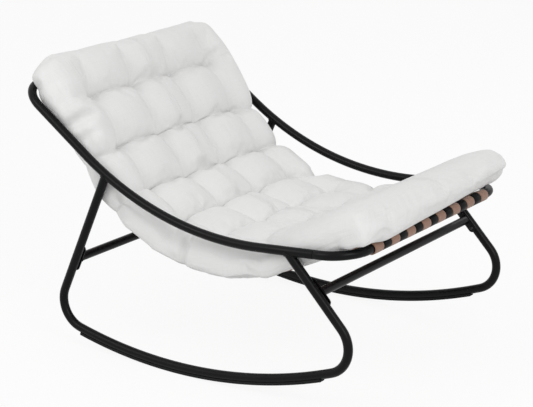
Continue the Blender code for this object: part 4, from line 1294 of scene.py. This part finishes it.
    def rest(self, obj, along, line, sling, scene):
        """Keeps the filled case on top of the straps and between the rails."""
        wall = scene.chair_frame.spacing / 2 - scene.chair_frame.tube / 2 - 0.0015
        last = strap_places(scene.chair_frame, sling)[-1] + sling.width / 2
        _, radius, inside, rise = self.HEAD_BEND
        for k, vert in enumerate(obj.data.vertices):
            point, normal = line.at(along[k])
            height = (vert.co - point).dot(normal) - sling.thickness / 2
            past = along[k] - line.length
            floor = self.CLEARANCE
            if vert.co.y > -0.33:
                floor -= 0.021 * float(ease((past - 0.018) / 0.02) + ease((past - 0.03) / 0.02))
            sunk = ease((0.2 - along[k]) / 0.08) * ease((along[k] - 0.02) / 0.03)
            floor -= 0.008 * float(sunk * ease((-vert.co.y - last) / 0.03))
            lift = float(self.corner_lift(along[k], vert.co.y, line))
            if lift > 0.0:
                floor = max(floor, lift + self.CLEARANCE)
            if height < floor:
                vert.co += normal * (floor - height)
                height = floor
            over_rail = height + 0.004 - rise * max(along[k], 0.0)
            most = wall
            if along[k] < 0.23:
                bend = radius - min(max(along[k], 0.035), radius)
                most = min(wall, 0.3258 + math.sqrt(inside**2 - bend**2))
                most += min(wall + 0.020 - most, max(0.0, 0.6 * over_rail))
            vert.co.y = min(max(vert.co.y, -most), most)
        obj.data.update()


class CHAIR_OT_stage(ChairPiece, bpy.types.Operator):
    """White floor and surround, studio light and the photograph's camera"""

    bl_idname = "chair.stage"
    bl_label = "Stage"

    def execute(self, context):
        scene = context.scene
        scene.view_settings.view_transform = "Standard"
        bpy.ops.object.select_all(action="DESELECT")
        bpy.ops.mesh.primitive_plane_add(size=40.0, location=(0.0, 0.0, -0.0005))
        floor = named("studio_floor")
        floor.data.materials.append(self.paper())
        self.surround(scene)
        for name, settings in LAMPS.items():
            self.lamp(name, *settings)
        x, y, z = CAMERA_PLACE
        turn = (math.pi / 2 - CAMERA_PITCH, 0.0, CAMERA_TURN)
        bpy.ops.object.camera_add(location=(x + FLOOR_X, y, z), rotation=turn)
        camera = bpy.context.active_object
        camera.name = "photo_camera"
        camera.data.sensor_width = SENSOR_WIDTH
        camera.data.lens = FOCAL_PIXELS / PHOTO_PIXELS * SENSOR_WIDTH
        scene.camera = camera
        return {"FINISHED"}

    @staticmethod
    def lamp(name, place, size, power):
        """Square area lamp that faces the chair."""
        target = Vector((0.0, 0.0, 0.4))
        place = Vector(place)
        turn = (target - place).to_track_quat("-Z", "Y").to_euler()
        bpy.ops.object.light_add(type="AREA", location=place, rotation=turn)
        lamp = bpy.context.active_object
        lamp.name = name
        lamp.data.size = size
        lamp.data.energy = power

    @staticmethod
    def seen_white(tree):
        """1 for rays from the camera, and for mirror and glass rays."""
        path = add_node(tree, "ShaderNodeLightPath").outputs
        first = calculate(tree, "MAXIMUM", path["Is Camera Ray"], path["Is Glossy Ray"])
        return calculate(tree, "MAXIMUM", first, path["Is Transmission Ray"])

    def paper(self):
        # White studio paper: it shows white to the camera, and keeps a faint shadow.
        made = bpy.data.materials.new("white studio paper")
        made.use_nodes = True
        tree = made.node_tree
        tree.nodes.clear()
        grain = add_node(tree, "ShaderNodeTexNoise", {"Scale": 40.0}, {"Vector": object_place(tree)})
        bump = add_node(tree, "ShaderNodeBump", {"Strength": 0.02}, {"Height": grain.outputs["Fac"]})
        paper = add_node(
            tree,
            "ShaderNodeBsdfDiffuse",
            {"Color": (0.8, 0.8, 0.8, 1.0)},
            {"Normal": bump.outputs["Normal"]},
        )
        glow = add_node(tree, "ShaderNodeEmission", {"Color": WHITE, "Strength": 1.0})
        thin = calculate(tree, "MULTIPLY", self.seen_white(tree), 0.9)
        mixed = {0: thin, 1: paper.outputs[0], 2: glow.outputs[0]}
        both = add_node(tree, "ShaderNodeMixShader", links=mixed)
        add_node(tree, "ShaderNodeOutputMaterial", links={"Surface": both.outputs[0]})
        return made

    def surround(self, scene):
        """White world that lights the chair more softly than it shows."""
        world = bpy.data.worlds.new("white surround")
        scene.world = world
        world.use_nodes = True
        tree = world.node_tree
        tree.nodes.clear()
        light = add_node(tree, "ShaderNodeBackground", {"Color": WHITE, "Strength": SURROUND_STRENGTH})
        white = add_node(tree, "ShaderNodeBackground", {"Color": WHITE, "Strength": 1.0})
        mixed = {0: self.seen_white(tree), 1: light.outputs[0], 2: white.outputs[0]}
        both = add_node(tree, "ShaderNodeMixShader", links=mixed)
        add_node(tree, "ShaderNodeOutputWorld", links={"Surface": both.outputs[0]})


OPERATORS = (
    CHAIR_OT_rails,
    CHAIR_OT_rockers,
    CHAIR_OT_strips,
    CHAIR_OT_crossbars,
    CHAIR_OT_straps,
    CHAIR_OT_sleeves,
    CHAIR_OT_cushion,
    CHAIR_OT_stage,
)


class CHAIR_PT_panel(bpy.types.Panel):
    """Chair pieces in the sidebar"""

    bl_label = "Rocking chair"
    bl_idname = "CHAIR_PT_panel"
    bl_space_type = "VIEW_3D"
    bl_region_type = "UI"
    bl_category = "Chair"

    def draw(self, context):
        layout = self.layout
        for operator in OPERATORS:
            layout.operator(operator.bl_idname)
        for group in (context.scene.chair_frame, context.scene.chair_sling, context.scene.chair_cushion):
            box = layout.box()
            for name in group.bl_rna.properties.keys():
                if name not in ("rna_type", "name"):
                    box.prop(group, name)


CLASSES = (ChairFrameSizes, SlingSizes, CushionSizes, *OPERATORS, CHAIR_PT_panel)


def register():
    for one in CLASSES:
        bpy.utils.register_class(one)
    bpy.types.Scene.chair_frame = bpy.props.PointerProperty(type=ChairFrameSizes)
    bpy.types.Scene.chair_sling = bpy.props.PointerProperty(type=SlingSizes)
    bpy.types.Scene.chair_cushion = bpy.props.PointerProperty(type=CushionSizes)


def unregister():
    del bpy.types.Scene.chair_frame
    del bpy.types.Scene.chair_sling
    del bpy.types.Scene.chair_cushion
    for one in reversed(CLASSES):
        bpy.utils.unregister_class(one)


def main():
    register()
    bpy.ops.chair.rails()
    bpy.ops.chair.rockers()
    bpy.ops.chair.strips()
    bpy.ops.chair.crossbars()
    bpy.ops.chair.straps()
    bpy.ops.chair.sleeves()
    bpy.ops.chair.cushion()
    bpy.ops.chair.stage()


if __name__ == "__main__":
    main()
